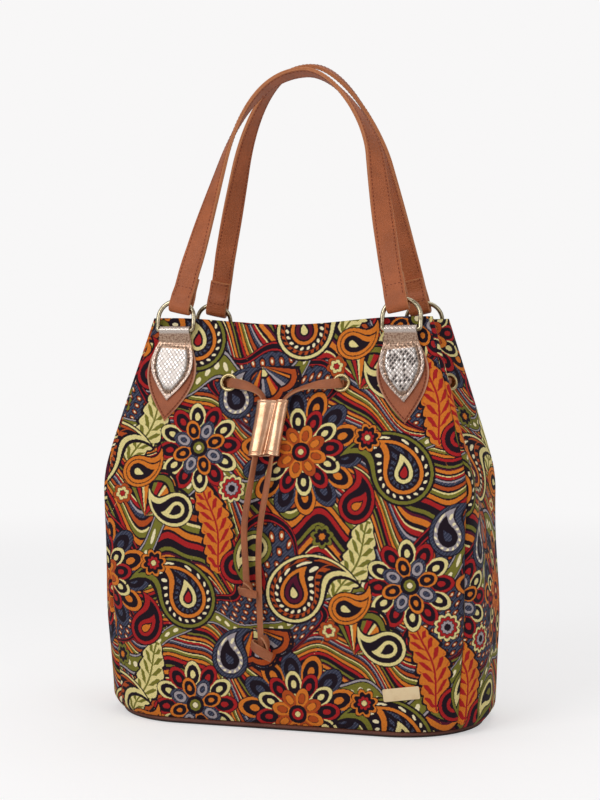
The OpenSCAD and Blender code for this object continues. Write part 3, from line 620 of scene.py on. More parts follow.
def dress(obj, body, material, slotName, *stands, angle=None):
    obj.data.materials.clear()
    obj.data.materials.append(material)
    only(obj)
    if angle is None:
        bpy.ops.object.shade_smooth()
    else:
        bpy.ops.object.shade_smooth_by_angle(angle=math.radians(angle))
    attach(obj, body)
    if stands:
        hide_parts(*stands)
    return obj

def turned(obj, name):  # copy turned half round to the rear of the bag
    only(obj)
    bpy.ops.object.duplicate()
    twin = bpy.context.object
    twin.data.transform(Matrix.Rotation(math.pi, 4, "Z"))
    twin.name = twin.data.name = name
    return twin

def half(q): return Vector((-q.x, -q.y, q.z))


# stitches: one modelled stitch, copied along lines
stitchSet = {"long": 2.5, "wide": 0.85, "high": 0.42}

def stitching(name, lines, pitch, scale=1.0):  # a line is places with their outward ways, in millimetres
    p = stitchSet
    only()
    bpy.ops.mesh.primitive_uv_sphere_add(segments=8, ring_count=6, radius=0.5, location=(0, 0, 0))
    model = bpy.context.object
    small = [v.co.copy() * scale for v in model.data.vertices]
    faces = [tuple(f.vertices) for f in model.data.polygons]
    verts, polys = [], []
    for line in lines:
        walked = pitch / 2
        for (a, ua), (c, uc) in zip(line, line[1:]):
            step = (c - a).length
            while walked < step:
                t = walked / step
                place, way = a.lerp(c, t), (c - a).normalized()
                side = ua.lerp(uc, t).cross(way).normalized()
                up, start = way.cross(side), len(verts)
                for q in small:
                    at = place + way * (q.z * p["long"]) + side * (q.x * p["wide"])
                    verts.append((at + up * (q.y * p["high"] * 2)) * mm)
                polys += [tuple(i + start for i in f) for f in faces]
                walked += pitch
            walked -= step
    mesh = bpy.data.meshes.new(name)
    mesh.from_pydata(verts, [], polys)
    obj = bpy.data.objects.new(name, mesh)
    bpy.context.collection.objects.link(obj)
    bpy.data.objects.remove(model)
    inEdit(obj, (bpy.ops.mesh.normals_make_consistent, {"inside": False}))
    return obj


# lace: flat leather strip through the eyelets, the slider and two knots
laceSet = {"wide": 5.4, "thick": 2.6, "sides": 20, "fine": 6, "mouth": 8.2, "tail": 5.2}

runRight = [(47.6, -53.236, 276.79), (48.7, -50.193, 276.198), (51.6, -47.543, 275.682),
        (56.5, -46.463, 275.472), (67, -45.481, 275.281), (89, -41.315, 277), (120.46, -36.442, 275.222),
        (118.334, -31.899, 275.467), (118.663, -27.996, 276.067), (119.92, -25.146, 276.689),
        (121.176, -22.296, 277.311), (121.229, -18.353, 277.867), (117.382, 0, 276)]
runRear = [(47.2, 52.941, 276.733), (45.7, 55.69, 277.267), (42.6, 58.144, 277.745), (38, 58.915, 277),
        (23, 57.71, 276), (0, 57.305, 275)]
leftEnd = [(-46.6, -54.515, 277), (-45, -56.915, 277), (-39, -58.91, 276.2), (-31, -59.2, 274.6),
        (-23.5, -59.7, 271.6), (-17.6, -60.6, 267.4), (-14.6, -62.2, 261), (-14.9, -63.4, 254),
        (-16.749, -65.972, 241.711), (-19.613, -70.428, 218.816), (-23.269, -76.117, 189.588),
        (-25.3, -79.4, 172), (-25.9, -80.6, 158), (-25.2, -81.2, 144), (-24, -82.351, 131),
        (-23, -84.07, 119), (-22.8, -84.3, 113)]
rightEnd = [(46.6, -54.515, 277), (45, -56.915, 277), (39, -58.91, 276.4), (29, -59.1, 275.6),
        (18, -59.4, 273.4), (8.6, -60.0, 269.6), (2.2, -61.2, 264.2), (-0.9, -63.0, 256),
        (-3.251, -66.289, 240.084), (-6.115, -70.745, 217.189), (-9.771, -76.433, 187.961),
        (-11.9, -79.8, 171), (-13.4, -81.1, 154), (-13.8, -81.4, 134), (-13, -82.325, 110),
        (-12, -83.287, 90), (-11, -84.682, 76), (-10.6, -84.9, 69)]

def wholeRun():
    side = runRight + [(x, -y, z) for x, y, z in reversed(runRight[1:-1])]
    right = side + runRear
    return right + [(-x, y, z) for x, y, z in reversed(right[:-1])]

def smoothLine(points, fine):
    pts = [Vector(q) for q in points]
    n, out = len(pts) - 1, []
    for i in range(n):
        a, c, d, e = pts[max(0, i - 1)], pts[i], pts[i + 1], pts[min(n, i + 2)]
        for j in range(fine):
            t = j / fine
            out.append(0.5 * (2 * c + (d - a) * t + (2 * a - 5 * c + 4 * d - e) * t * t
                    + (3 * c - a - 3 * d + e) * t ** 3))
    return out + [pts[-1]]

def laceTube(name, line, hint, size, sides):  # oval strip along a line; hint gives its wide way
    n = len(line) - 1
    length = runLengths(line)
    rings = []
    for i, at in enumerate(line):
        way = (line[min(n, i + 1)] - line[max(0, i - 1)]).normalized()
        wide, thick, twist = size(length[i])
        flat = hint(at, way)
        flat = (flat - flat.dot(way) * way).normalized()
        high = flat.cross(way)
        flat, high = flat * cosine(twist) + high * sine(twist), high * cosine(twist) - flat * sine(twist)
        rings.append((at, flat, high, wide, thick))
    def form(s, t):
        at, flat, high, wide, thick = rings[round(t * n)]
        a = 2 * math.pi * (s % 1.0)
        c, d = math.cos(a), math.sin(a)
        x = math.copysign(abs(c) ** 0.75, c) * wide / 2
        # soft crease along the folded strip
        y = math.copysign(abs(d) ** 0.9, d) * thick / 2 * (1 - 0.16 * bell(x, 0.5))
        return at + flat * x + high * y, (length[round(t * n)] * mm, x / wide)
    obj = gridPiece(name, sides, n, form)
    closeTube(obj)
    return obj, length[-1]

def makeLace(p):
    run = smoothLine(wholeRun(), 4)
    obj, none = laceTube("laceRun", run, lambda at, way: Vector((0, 0, 1)),
            lambda q: (p["wide"], p["thick"], 0), p["sides"])
    dress(obj, "bag", laceLeather, "brown_leather", "drawcord")
    ends = []
    for name, pts, node, side in (
            ("laceLeftEnd", leftEnd, "left_cord_end", 1), ("laceRightEnd", rightEnd, "right_cord_end", -1)):
        line = smoothLine(pts, p["fine"])
        def size(q, side=side):  # broad at the eyelet, turned on edge at the sleeve, then a plain tail
            broad = mix(p["mouth"], p["tail"], soft(10, 40, q))
            turn = 52 * soft(8, 38, q) * (1 - soft(95, 130, q)) + 14 * soft(110, 150, q)
            return broad, mix(2.2, p["thick"], soft(10, 40, q)), side * turn
        obj, length = laceTube(name, line, lambda at, way: way.cross(leanWay), size, p["sides"])
        dress(obj, "bag", laceLeather, "brown_leather", node)
        ends.append((obj, line, length))
    return ends

# knots: the strip loops behind itself, round the left and across the front to a cut end
knotSet = [
    {"name": "leftKnot", "node": "left_knot", "at": (-23, -84.3, 112.5), "size": 0.84,
     "strip": (6.6, 2.4), "lean": -14},
    {"name": "rightKnot", "node": "right_knot", "at": (-11, -85.2, 67.9), "size": 1.1,
     "strip": (7.6, 2.6), "lean": 6}]
knotTurn = [(1.2, -0.4, 9.0), (3.6, -0.6, 6.5), (5.2, 0.2, 3.0), (4.6, 2.0, 0.0), (1.0, 3.4, -0.4),
        (-3.0, 3.0, 0.8), (-5.8, 1.0, 1.8), (-5.8, -1.8, 1.6), (-3.0, -3.8, 0.5), (0.4, -4.3, -1.0),
        (4.0, -3.5, -2.8), (7.2, -2.0, -4.4), (9.2, -0.8, -5.4)]

def makeKnot(p):
    turn = Matrix.Rotation(math.radians(p["lean"]), 3, "Y")
    at = Vector(p["at"])
    line = [at + turn @ (q * p["size"]) for q in smoothLine(knotTurn, 5)]
    def hint(q, way):
        out = turn.transposed() @ (q - at)
        return way.cross(turn @ Vector((out.x, out.y, 0.0)))
    obj, none = laceTube(p["name"], line, hint, lambda q: (p["strip"][0], p["strip"][1], 0), 16)
    return dress(obj, "bag", laceLeather, "brown_leather", p["node"])

ends = makeLace(laceSet)
knots = [makeKnot(p) for p in knotSet]
for (obj, line, length), knot in zip(ends, knots):
    tuple(line[0] * mm)
    length * mm
    [tuple(q * mm) for q in line]
print("lace made, ends", [round(e[2], 1) for e in ends])


# the cloth body, with seams, rim and soft folds
def frontLine(s, z, inset):  # place, outward way and distance along the cloth, s from -1 to 1
    w, d, r = halfW(z) - inset, halfD(z) - inset, cornerR(z) - inset
    flat, side, k = w - r, (1 if s >= 0 else -1), abs(s)
    if k <= b["frontShare"]:
        x = flat * s / b["frontShare"]
        return Vector((x, -d - swell(x, z), z)), Vector((0, -1, 0)), x
    t = (k - b["frontShare"]) / (1 - b["frontShare"]) * 45
    way = Vector((side * sine(t), -cosine(t), 0))
    return Vector((side * flat, r - d, z)) + way * r, way, side * (flat + r * math.radians(t))

def sideLine(s, z, inset):
    w, d, r = halfW(z) - inset, halfD(z) - inset, cornerR(z) - inset
    flat, side, k = d - r, (1 if s >= 0 else -1), abs(s)
    slack = 1 + fd["slack"] * foldIn(z) / b["fold"]  # the folded cloth is longer than it is deep
    if k <= b["sideShare"]:
        y = flat * s / b["sideShare"]
        part = 90 * unit(abs(y) / max(flat, 0.01))
        slope = foldIn(z) * math.pi / 2 / max(flat, 0.01) * sine(2 * part) * side
        at = Vector((w - foldIn(z) * cosine(part) ** 2, y, z))
        return at, Vector((1, -slope, 0)).normalized(), y * slack
    t = (k - b["sideShare"]) / (1 - b["sideShare"]) * 45
    way = Vector((cosine(t), side * sine(t), 0))
    return Vector((w - r, side * flat, z)) + way * r, way, side * (flat * slack + r * math.radians(t))

def frontRim(x, flat): return b["tall"] - b["rimDip"] * cosine(90 * unit(1.1 * abs(x) / flat)) ** 2
def sideRim(y, flat): return b["tall"] - b["gussetDip"] * cosine(90 * unit(abs(y) / max(flat, 0.01))) ** 2

foldSet = {"tuck": 1.9, "tuckWide": 4.5, "hem": 0.5, "hemLong": 12.5, "sag": 1.5, "sideSag": 1.4,
        "gather": 1.2, "gatherLong": 17.5, "pull": 0.9, "rimWave": 0.6, "calmX": 97.0, "slack": 0.16,
        "seamIn": 0.15}
fd = foldSet

def seamTuck(left):  # the cloth turns in at a seam, left is the way to it
    return -fd["tuck"] * max(0.0, 1 - left / fd["tuckWide"]) ** 2

def hemWave(z, along):
    return -fd["hem"] * math.exp(-max(0, z - b["seamZ"]) / 8) * ripple(2 * math.pi * along / fd["hemLong"])

def frontFolds(x, z, along, left):
    # flat under the sewn leaves
    calm = mix(1.0, soft(0, 26, min(abs(abs(x) - fd["calmX"]), 40) - 24), soft(222, 238, z))
    broad = 0.5 + 0.5 * math.sin(x / 31 + z / 57 + 0.6) * math.sin(z / 41 - x / 83 + 1.1)
    sag = -fd["sag"] * broad * soft(10, 60, z) * (1 - soft(250, 300, z))
    gather = -fd["gather"] * bell(z - b["eyeZ"], 20) * crest(2 * math.pi * x / fd["gatherLong"])
    gather *= 1 - soft(58, 70, abs(x))
    pull = 0.0
    for e in (-1, 1):
        dx, dz = x - e * b["eyeX"], z - b["eyeZ"]
        pull -= fd["pull"] * bell(math.hypot(dx, dz) - 14, 5.5) * crest(7 * math.atan2(dz, dx))
    rimWave = -fd["rimWave"] * soft(300, 328, z) * ripple(x / 13 + 0.8)
    return (sag + gather + pull + rimWave) * calm + hemWave(z, along) + seamTuck(left)

def sideFolds(y, z, along, left):
    sag = -fd["sideSag"] * ripple(z / 29 + y / 17) * soft(20, 90, z) * (1 - soft(236, 262, z))
    return sag + hemWave(z, along) + seamTuck(left)

def openHoles(obj, holes):  # holes: place, way of the axis
    bm = bmesh.new()
    bm.from_mesh(obj.data)
    def across(co, hole):
        off = co / mm - hole[0]
        return off - off.dot(hole[1]) * hole[1]
    for hole in holes:
        near = [f for f in bm.faces if (f.calc_center_median() / mm - hole[0]).length < 9
                and across(f.calc_center_median(), hole).length < b["hole"] - 0.3]
        bmesh.ops.delete(bm, geom=near, context="FACES")
        for v in bm.verts:
            if v.is_boundary and (v.co / mm - hole[0]).length < 12:
                off = across(v.co, hole)
                if 0.1 < off.length < 9:
                    v.co += (off.normalized() * b["hole"] - off) * mm
    bm.to_mesh(obj.data)
    bm.free()

def topOf(line, k):  # height of the rim
    front = line is frontLine
    share = b["frontShare"] if front else b["sideShare"]
    flat = (halfW(b["tall"]) if front else halfD(b["tall"])) - cornerR(b["tall"])
    if abs(k) > share:
        return b["tall"]
    return frontRim(flat * k / share, flat) if front else sideRim(flat * k / share, flat)

def clothPanel(name, line, folds, share, columns, holes, near, out, start):
    def form(s, t):
        k = 2 * s - 1
        z = mix(b["seamZ"], topOf(line, k), t ** 1.05)
        at, way, along = line(k, z, 0.0)
        end = cornerR(z) * math.radians(45) * (1 - abs(k)) / (1 - share) if abs(k) > share else 99
        fold = folds(at.x if line is frontLine else at.y, z, along, end)
        if abs(k) > 0.999:  # a panel's edge lies just inside the seam
            fold -= fd["seamIn"]
        return at + way * fold, ((along + start[0]) * mm, (z + start[1]) * mm)
    obj = gridPiece(name, columns, b["rows"], form)
    openHoles(obj, holes)
    faceOut(obj, near, out)
    thicken(obj, b["cloth"], use_even_offset=False)
    roundEdges(obj, 0.6, 60)
    return obj

def flipY(q): return Vector((q.x, -q.y, q.z))

frontHoles = [(Vector((e * b["eyeX"], -halfD(b["eyeZ"]), b["eyeZ"])), leanWay) for e in (-1, 1)]
sideHoles = [(sideSeat, sideOut), (flipY(sideSeat), flipY(sideOut))]

def makeBody():
    front = clothPanel("frontCloth", frontLine, frontFolds, b["frontShare"], b["frontColumns"], frontHoles,
            (0, -75, 100), (0, -1, 0), (30, 40))
    right = clothPanel("rightGussetCloth", sideLine, sideFolds, b["sideShare"], b["sideColumns"], sideHoles,
            (160, 0, 100), (1, 0, 0), (210, 52))
    rear, left = turned(front, "rearCloth"), turned(right, "leftGussetCloth")
    for piece, node, shift in (
            (front, "front_panel", 0), (rear, "back_panel", 0.4),
            (right, "right_gusset", 0), (left, "left_gusset", 0.3)):
        for spot in piece.data.uv_layers.active.data:  # each panel is cut from its own place in the cloth
            spot.uv = (spot.uv[0] + shift, spot.uv[1])
        dress(piece, "bag", jacquardCloth, "jacquard", node, angle=50)

makeBody()
print("cloth body made")


# lining: thin cotton shell inside the cloth, loose in the fold
liningSet = {"inset": 2.45, "thick": 0.6, "low": 6.0, "drop": 2.5, "wave": 1.6, "loose": 0.9, "columns": 288,
        "rows": 90}

def makeLining(p):
    def form(s, t):
        q = (s * 4) % 4
        k, line = 2 * (q % 1) - 1, (frontLine, sideLine)[int(q) % 2]
        z = mix(p["low"], topOf(line, k) - p["drop"], t)
        at, way, along = line(k, z, p["inset"])
        wave = p["wave"] * ripple(along / 15 + z / 47) * soft(12, 50, z) * (1 - soft(240, 262, z))
        at = at - way * (wave + p["loose"] * soft(20, 60, z) * (1 - soft(236, 258, z)))
        return half(at) if q >= 2 else at, (s * 0.9, t * 0.33)
    obj = gridPiece("liningCloth", p["columns"], p["rows"], form)
    inEdit(obj, (bpy.ops.mesh.remove_doubles, {"threshold": 0.00005}))
    holes = frontHoles + sideHoles
    openHoles(obj, holes + [(half(q), half(w)) for q, w in holes])
    faceOut(obj, (0, -66, 150), (0, -1, 0))
    thicken(obj, p["thick"])
    return dress(obj, "bag", liningCotton, "lining", "lining", angle=60)

makeLining(liningSet)
print("lining made")


# straps: two sewn layers that loop through the rings and turn to lie flat at the crown
strapSet = {"wide": 18.0, "thick": 3.2, "tilt": 12.2, "footX": 91.0, "loopV": 19.6, "loopR": 3.75,
        "flap": 26.0, "layer": 1.75, "legV": 142.0, "archIn": 43.0, "archTop": 35.0, "lean": 10.0,
        "barY": 50.4243, "barZ": 319.5, "stitchIn": 2.4, "pitch": 3.3, "edge": 0.9, "round": 0.28,
        "joint": 0.35, "dome": 0.18}

def strapPath(p, high, sway, fall):  # places with their wide way and outer way, end to end
    legL = (p["legV"] - p["loopV"]) / cosine(p["tilt"])
    def leg(q, w): return Vector((p["footX"] - q * sine(p["tilt"]), p["loopV"] + q * cosine(p["tilt"]), w))
    def layer(q):
        if q <= p["flap"]: return mix(p["loopR"], p["layer"], ease(unit((q - 8) / 9)))
        return mix(p["layer"], 0, ease(unit((q - p["flap"]) / 26)))
    a = leg(legL, 0)
    way = Vector((-sine(p["tilt"]), cosine(p["tilt"]), 0))
    side = []  # places with a count that sets how far the strap has turned
    for i in range(10):
        q = mix(p["flap"], 7, i / 9)
        side.append((leg(q, -layer(q)), 0.0))
    for i in range(0, 25):
        t = 180 * i / 24
        side.append((leg(-p["loopR"] * sine(t), -p["loopR"] * cosine(t)), 0.0))
    for i in range(11):
        q = mix(7, p["flap"], i / 10)
        side.append((leg(q, layer(q)), 0.0))
    for i in range(1, 33):
        q = mix(p["flap"], legL, i / 32)
        side.append((leg(q, layer(q)), 14 + 7 * i / 32))
    def shoulder(k):  # from the leg to the crown, rounder where k is less
        c1, c2, d = a + way * p["archIn"] * k, Vector((p["archTop"] * k, high, 0)), Vector((0, high, 0))
        ts = [i / 48 for i in range(1, 49)]
        return [((1 - t) ** 3 * a + 3 * t * (1 - t) ** 2 * c1 + 3 * t * t * (1 - t) * c2 + t ** 3 * d,
                21 + 9 * t) for t in ts]
    whole = [(q, k, 1) for q, k in side + shoulder(fall[0])]
    whole += [(Vector((-q.x, q.y, q.z)), k, -1) for q, k in reversed(side + shoulder(fall[1])[:-1])]
    start = p["loopV"] + p["flap"]
    pts = [q + Vector((sway * ease(unit((q.y - start) / (high - start))), 0, 0)) for q, k, m in whole]
    out, n = [], len(pts) - 1
    for i, (none, k, m) in enumerate(whole):
        t = (pts[min(n, i + 1)] - pts[max(0, i - 1)]).normalized()
        if k < 15:
            face = Vector((cosine(p["tilt"]) * m, sine(p["tilt"]), 0)).cross(t)
        else:
            turn = 90 * sine(90 * unit((k - 15) / 15))
            face = Vector((0, 0, 1)) * cosine(turn) + Vector((t.y, -t.x, 0)).normalized() * sine(turn)
        wide = t.cross(face).normalized()
        out.append((pts[i], wide, wide.cross(t)))
    return out

def makeStrap(p, name, high, sway, fall, rear, body, node):
    path = strapPath(p, high, sway, fall)
    n = len(path) - 1
    w, h, e, r, j = p["wide"] / 2, p["thick"] / 2, p["edge"], p["round"], p["joint"]
    def edge(s):  # rounded edge with a fine joint between the two layers
        return [(s * (w - r), s * (h - r)), (s * w, s * (h - e)), (s * w, s * j), (s * (w - r), 0.0),
                (s * w, -s * j), (s * w, s * (e - h)), (s * (w - r), s * (r - h))]
    def face(s):
        steps = [mix(-1, 1, i / 6) for i in range(7)]
        return [(s * k * (w - e), s * (h + p["dome"] * cosine(90 * abs(k)))) for k in steps]
    ring = face(1) + edge(1) + face(-1) + edge(-1)
    m = len(ring)
    length = runLengths([at for at, wide, up in path])
    def settle(q):
        c, s = cosine(p["lean"]), sine(p["lean"])
        at = Vector((q.x, -p["barY"] + q.y * s - q.z * c, p["barZ"] + q.y * c + q.z * s))
        return half(at) if rear else at
    def form(s, t):
        at, wide, up = path[round(t * n)]
        x, y = ring[round(s * m) % m]
        walked = length[round(t * n)]
        return settle(at + wide * x + up * y), (min(walked, length[-1] - walked) * mm, x * mm)
    obj = gridPiece(name, m, n, form)
    closeTube(obj)
    dress(obj, body, strapLeather, "brown_leather", node, angle=40)
    inSet = w - p["stitchIn"]
    def sewn(i, x, out):  # a place on one face of the strap, with its outward way
        at, wide, up = path[i]
        q = settle(at + wide * x + up * (out * (h - 0.1)))
        return q, settle(at + wide * x + up * (out * (h + 0.9))) - q
    lines = []
    for side in (1, -1):
        lines.append([sewn(i, side * inSet, 1) for i in range(35, n - 34)])
        lines.append([sewn(i, side * inSet, -1) for i in range(46, n - 45)])
        for first, last, step in ((0, 10, 1), (n, n - 10, -1)):  # turned-back ends, seen from behind
            lines.append([sewn(i, side * inSet, 1) for i in range(first, last, step)])
    for i in (1, 9, 40, n - 40, n - 9, n - 1):  # cross seams
        lines.append([sewn(i, x, 1) for x in (-inSet, inSet)])
    dress(stitching(name + "Stitching", lines, p["pitch"]), body, tanThread, "brown_leather")
    return length[-1]

frontLong = makeStrap(strapSet, "frontStrap", 216.5, 5.5, (0.72, 1.0), False, "front_handle", "front_strap")
rearLong = makeStrap(strapSet, "rearStrap", 226.0, -4.0, (1.0, 0.78), True, "rear_handle", "rear_strap")
print("straps made", round(frontLong, 1), round(rearLong, 1))


# leather leaves and scaled tabs that hold the rings
tabSet = {"x": 94.5, "level": 318.679, "barOff": 4.3, "foldR": 3.6, "foldHalf": 12.7, "stitchV": 11.0,
        "long": 58.0, "half": 18.0, "leafTop": 10.4, "leafLong": 75.0, "leafHalf": 21.0, "thick": 1.5,
        "domed": 0.28, "gap": 0.3, "splay": 5.0, "border": 3.0, "flare": 1.4, "pad": 0.95, "groove": 0.22,
        "leafShare": 0.66, "leafSewn": 2.3}

def leafHalf(s, top, wide, long):
    peak = 0.36 * long
    if s < peak: return mix(top, wide, sine(90 * s / peak))
    return wide * cosine(90 * (s - peak) / (long - peak))

def splayed(p, side, q, pivot):  # turned outward about a point on the middle line
    c, s = cosine(p["splay"] * side), sine(p["splay"] * side)
    x, v = q[0], q[1] - pivot
    return onFront(side * p["x"], p["level"], (x * c - v * s, pivot + x * s + v * c, q[2]))

def makeLeaf(p, side, name):
    top, wide, long = p["leafHalf"] * p["leafShare"], p["leafHalf"], p["leafLong"] - p["leafTop"]
    def form(s, t):
        k, down = 2 * s - 1, long * (1 - (1 - t) ** 1.25)
        across = max(0.5, leafHalf(min(down, long - 0.05), top, wide, long))
        lift = p["gap"] + p["thick"] - p["domed"] * k * k
        return splayed(p, side, (k * across, -p["leafTop"] - down, lift), -p["leafTop"]), (t, k)
    obj = gridPiece(name, 22, 40, form)
    faceOut(obj, onFront(side * p["x"], p["level"], (0, -p["leafLong"] / 2, 2)), (0, -1, 0))
    thicken(obj, p["thick"] - p["domed"])
    roundEdges(obj, 0.35, 50)
    line = []
    for way in (1, -1):
        for i in range(0, 41)[::way]:
            down = long * (1 - (1 - i / 40) ** 1.25) * 0.955
            across = max(0.0, leafHalf(down, top, wide, long) - p["leafSewn"])
            q = (way * across, -p["leafTop"] - down, p["gap"] + p["thick"] + 0.1)
            line.append((splayed(p, side, q, -p["leafTop"]), leanWay))
    return obj, stitching(name + "Stitching", [line], 3.0, 1.05)

def makeTab(p, side, name):
    long, base, pivot = p["long"] - p["stitchV"] + 1, p["gap"] + p["thick"] + p["gap"], 1 - p["stitchV"]
    outer, neck = base + p["thick"], p["foldHalf"] + p["flare"]
    def flat(q): return onFront(side * p["x"], p["level"], q)
    rail = []  # tip to top, over the bar and down behind: up the panel, out, half width
    for i in range(41):
        down = long * (1 - i / 40) ** 1.2
        rail.append((pivot - down, outer, max(0.5, leafHalf(min(down, long - 0.05), neck, p["half"], long))))
    for i in range(1, 9):
        t = i / 8
        out = mix(outer, p["barOff"] + p["foldR"], ease(t) * 0.5 + t * 0.5)
        rail.append((mix(pivot, 0, t), out, mix(neck, p["foldHalf"], ease(t))))
    for i in range(1, 15):
        a = 180 * i / 14
        rail.append((p["foldR"] * sine(a), p["barOff"] + p["foldR"] * cosine(a), p["foldHalf"]))
    for i in range(1, 8):
        t = i / 7
        rail.append((mix(0, -p["stitchV"] - 2, t), mix(p["barOff"] - p["foldR"], base - 0.1, t),
                p["foldHalf"]))
    n = len(rail) - 1
    length = runLengths([Vector((up, out)) for up, out, across in rail])
    def form(s, t):
        up, out, across = rail[round(t * n)]
        k, leaf = 2 * s - 1, round(t * n) <= 40
        rim = min(across * (1 - abs(k)), 0.55 * (up + p["long"])) if leaf else across * (1 - abs(k))
        if leaf:  # padded inside its sewn border
            inner = ease(unit((rim - p["border"]) / 3.0)) * ease(unit((pivot - 1.5 - up) / 4))
            out += p["pad"] * inner - p["groove"] * bell(rim - p["border"], 0.8) * soft(0, 3, pivot - up)
        q = (k * across, up, out)
        at = splayed(p, side, q, pivot) if leaf else flat(q)
        return at, (length[round(t * n)] * mm, k * across * mm), rim, up if t < 0.82 else 5.0
    obj = gridPiece(name, 32, n, form, ("rim", "rise"))
    faceOut(obj, flat((0, -p["long"] / 2, 4)), (0, -1, 0))
    thicken(obj, p["thick"] - 0.1)
    roundEdges(obj, 0.3, 50)
    line = []
    for way in (1, -1):
        for i in range(0, 41)[::-way]:
            up = mix(pivot - 3.2, -p["long"] + 6.0, (pivot - rail[i][0]) / long)
            across = max(0.0, leafHalf(min(pivot - up, long * 0.999), neck, p["half"], long) - p["border"])
            line.append((splayed(p, side, (way * across, up, outer - 0.05), pivot), leanWay))
    seam = [(flat((k * (p["foldHalf"] - 1.2), pivot - 1.4, outer + 0.1)), leanWay) for k in (-1, 1)]
    return obj, stitching(name + "Stitching", [line, seam], 2.3, 0.72)

def makeTabs(p):
    for side, where, other in ((-1, "left", "right"), (1, "right", "left")):
        leaf, leafSewn = makeLeaf(p, side, where + "FrontLeaf")
        tab, tabSewn = makeTab(p, side, where + "FrontTab")
        scales = scalesClean if side < 0 else scalesDark
        for piece, finish, slotName, kind in (
                (leaf, leafLeather, "brown_leather", "_leaf"), (tab, scales, "scaled_leather", "_tab"),
                (leafSewn, tanThread, "brown_leather", None), (tabSewn, darkThread, "scaled_leather", None)):
            twin = turned(piece, piece.name.replace(where, other).replace("Front", "Rear"))
            angle = 45 if kind else None
            dress(piece, "bag", finish, slotName, *(["front_" + where + kind] if kind else []), angle=angle)
            dress(twin, "bag", finish, slotName, *(["rear_" + other + kind] if kind else []), angle=angle)

makeTabs(tabSet)
print("leaves and tabs made")


# slider: a soft sleeve of foiled leather with two channels and hemmed ends
sliderSet = {"x": -10.0, "z": 240.0, "tilt": 7.0, "long": 47.0, "off": 4.7, "wide": 26.0, "thick": 8.0,
        "skin": 1.1, "skew": 0.2, "channels": ((-6.0, 6.8, 2.5), (7.2, 5.6, 2.3))}

def makeSlider(p):
    w, h = p["wide"] / 2 - 0.3, p["thick"] / 2
    def front(x):  # wide left channel, groove, right channel
        full = [max(0.0, 1 - abs((x - at) / wide) ** k) ** (1 / 2.2) for at, wide, k in p["channels"]]
        return h * max(*full, 0.3 if -3 < x < 5 else 0.0)
    ring = [(-w * cosine(180 * i / 48), front(-w * cosine(180 * i / 48))) for i in range(49)]
    for i in range(1, 24):
        x = w * cosine(180 * i / 24)
        ring.append((x, -h * 0.86 * max(0.0, 1 - abs(x / w) ** 5) ** 0.5))
    m = len(ring)
    c, s = cosine(p["tilt"]), sine(p["tilt"])
    def form(k, t):
        x, y = ring[round(k * m) % m]
        v, end = (t - 0.5) * (p["long"] - 1.6), abs(t - 0.5) * 2
        flare = 1 + 0.03 * end ** 6 - 0.015 * sine(180 * t)
        left = (1 - end) * p["long"] / 2  # way to the nearer end
        hem = 0.24 * bell(left - 0.8, 0.7) - 0.3 * bell(left - 2.2, 0.6)
        dip = 1.5 * bell(x - 3.2, 2.6) * (1 - t) ** 3 if y > 0 else 0.0
        v += p["skew"] * x * (1 - 0.35 * abs(x) / w) + dip
        soften = 0.1 * math.sin(v / 7.2 + x / 5.7) if y > 0.3 else 0.0
        x += 0.05 * (t - 0.5) * p["long"] * bell(x - 1.0, 3.0)
        out = y * flare + (hem + soften if y > 0 else 0.0)
        q = (x * flare * c + v * s, v * c - x * flare * s, p["off"] + out)
        return onFront(p["x"], p["z"], q), (x * mm, t * p["long"] * mm)
    obj = gridPiece("cordSleeve", m, 60, form)
    inEdit(obj, (bpy.ops.mesh.remove_doubles, {"threshold": 0.00002}),
            (bpy.ops.mesh.normals_make_consistent, {"inside": False}))
    faceOut(obj, onFront(p["x"], p["z"], (-6, 0, 9)), (0, -1, 0))
    thicken(obj, p["skin"])
    roundEdges(obj, 0.3, 50)
    dress(obj, "slider", copper, "copper_leather", "cord_slider", angle=50)

makeSlider(sliderSet)
print("slider made")


# plate: thin metal with rounded corners, left bare
plateSet = {"x": 100.0, "z": 35.5, "wide": 29.0, "tall": 10.0, "thick": 1.2, "off": 0.45, "turn": 8.0,
        "yaw": 3.0, "corner": 1.2}

def makePlate(p):
    only()
    bpy.ops.mesh.primitive_cube_add(size=1, location=(0, 0, 0))
    obj = bpy.context.object
    obj.name = obj.data.name = "barePlate"
    obj.data.transform(Matrix.Diagonal((p["wide"] * mm, p["thick"] * mm, p["tall"] * mm, 1)))
    inEdit(obj, (bpy.ops.mesh.select_mode, {"type": "EDGE"}),
            (bpy.ops.mesh.select_all, {"action": "DESELECT"}))
    for e in obj.data.edges:  # the four corners of the outline
        a, c = (obj.data.vertices[i].co for i in e.vertices)
        e.select = abs(a.x - c.x) < 1e-6 and abs(a.z - c.z) < 1e-6
    bpy.ops.object.mode_set(mode="EDIT")
    bpy.ops.mesh.bevel(offset=p["corner"] * mm, segments=6)
    bpy.ops.object.mode_set(mode="OBJECT")
    roundEdges(obj, 0.32, 60, 3)
    spin = Matrix.Rotation(math.radians(p["yaw"]), 4, "Z") @ Matrix.Rotation(math.radians(-p["turn"]), 4, "Y")
    seat = Vector((p["x"], -halfD(p["z"]) - p["off"] - p["thick"] / 2, p["z"])) * mm
    obj.data.transform(Matrix.Translation(seat) @ spin)
    dress(obj, "bag", plateGold, "plate", "name_plate", angle=40)

makePlate(plateSet)
print("plate made")


# finishes of the solids that stay
def finishNodes(material, *names):
    for name in names:
        for slot in nodes[name].material_slots:
            slot.material = material

finishNodes(brass, "front_left_ring", "front_right_ring", "rear_left_ring", "rear_right_ring",
        "eyelet_washers")
finishNodes(paleBrass, "front_eyelets", "rear_eyelets", "left_eyelets", "right_eyelets")
finishNodes(baseLeather, "base_panel")
finishNodes(pipingLeather, "base_piping")
finishNodes(boardCloth, "base_board")


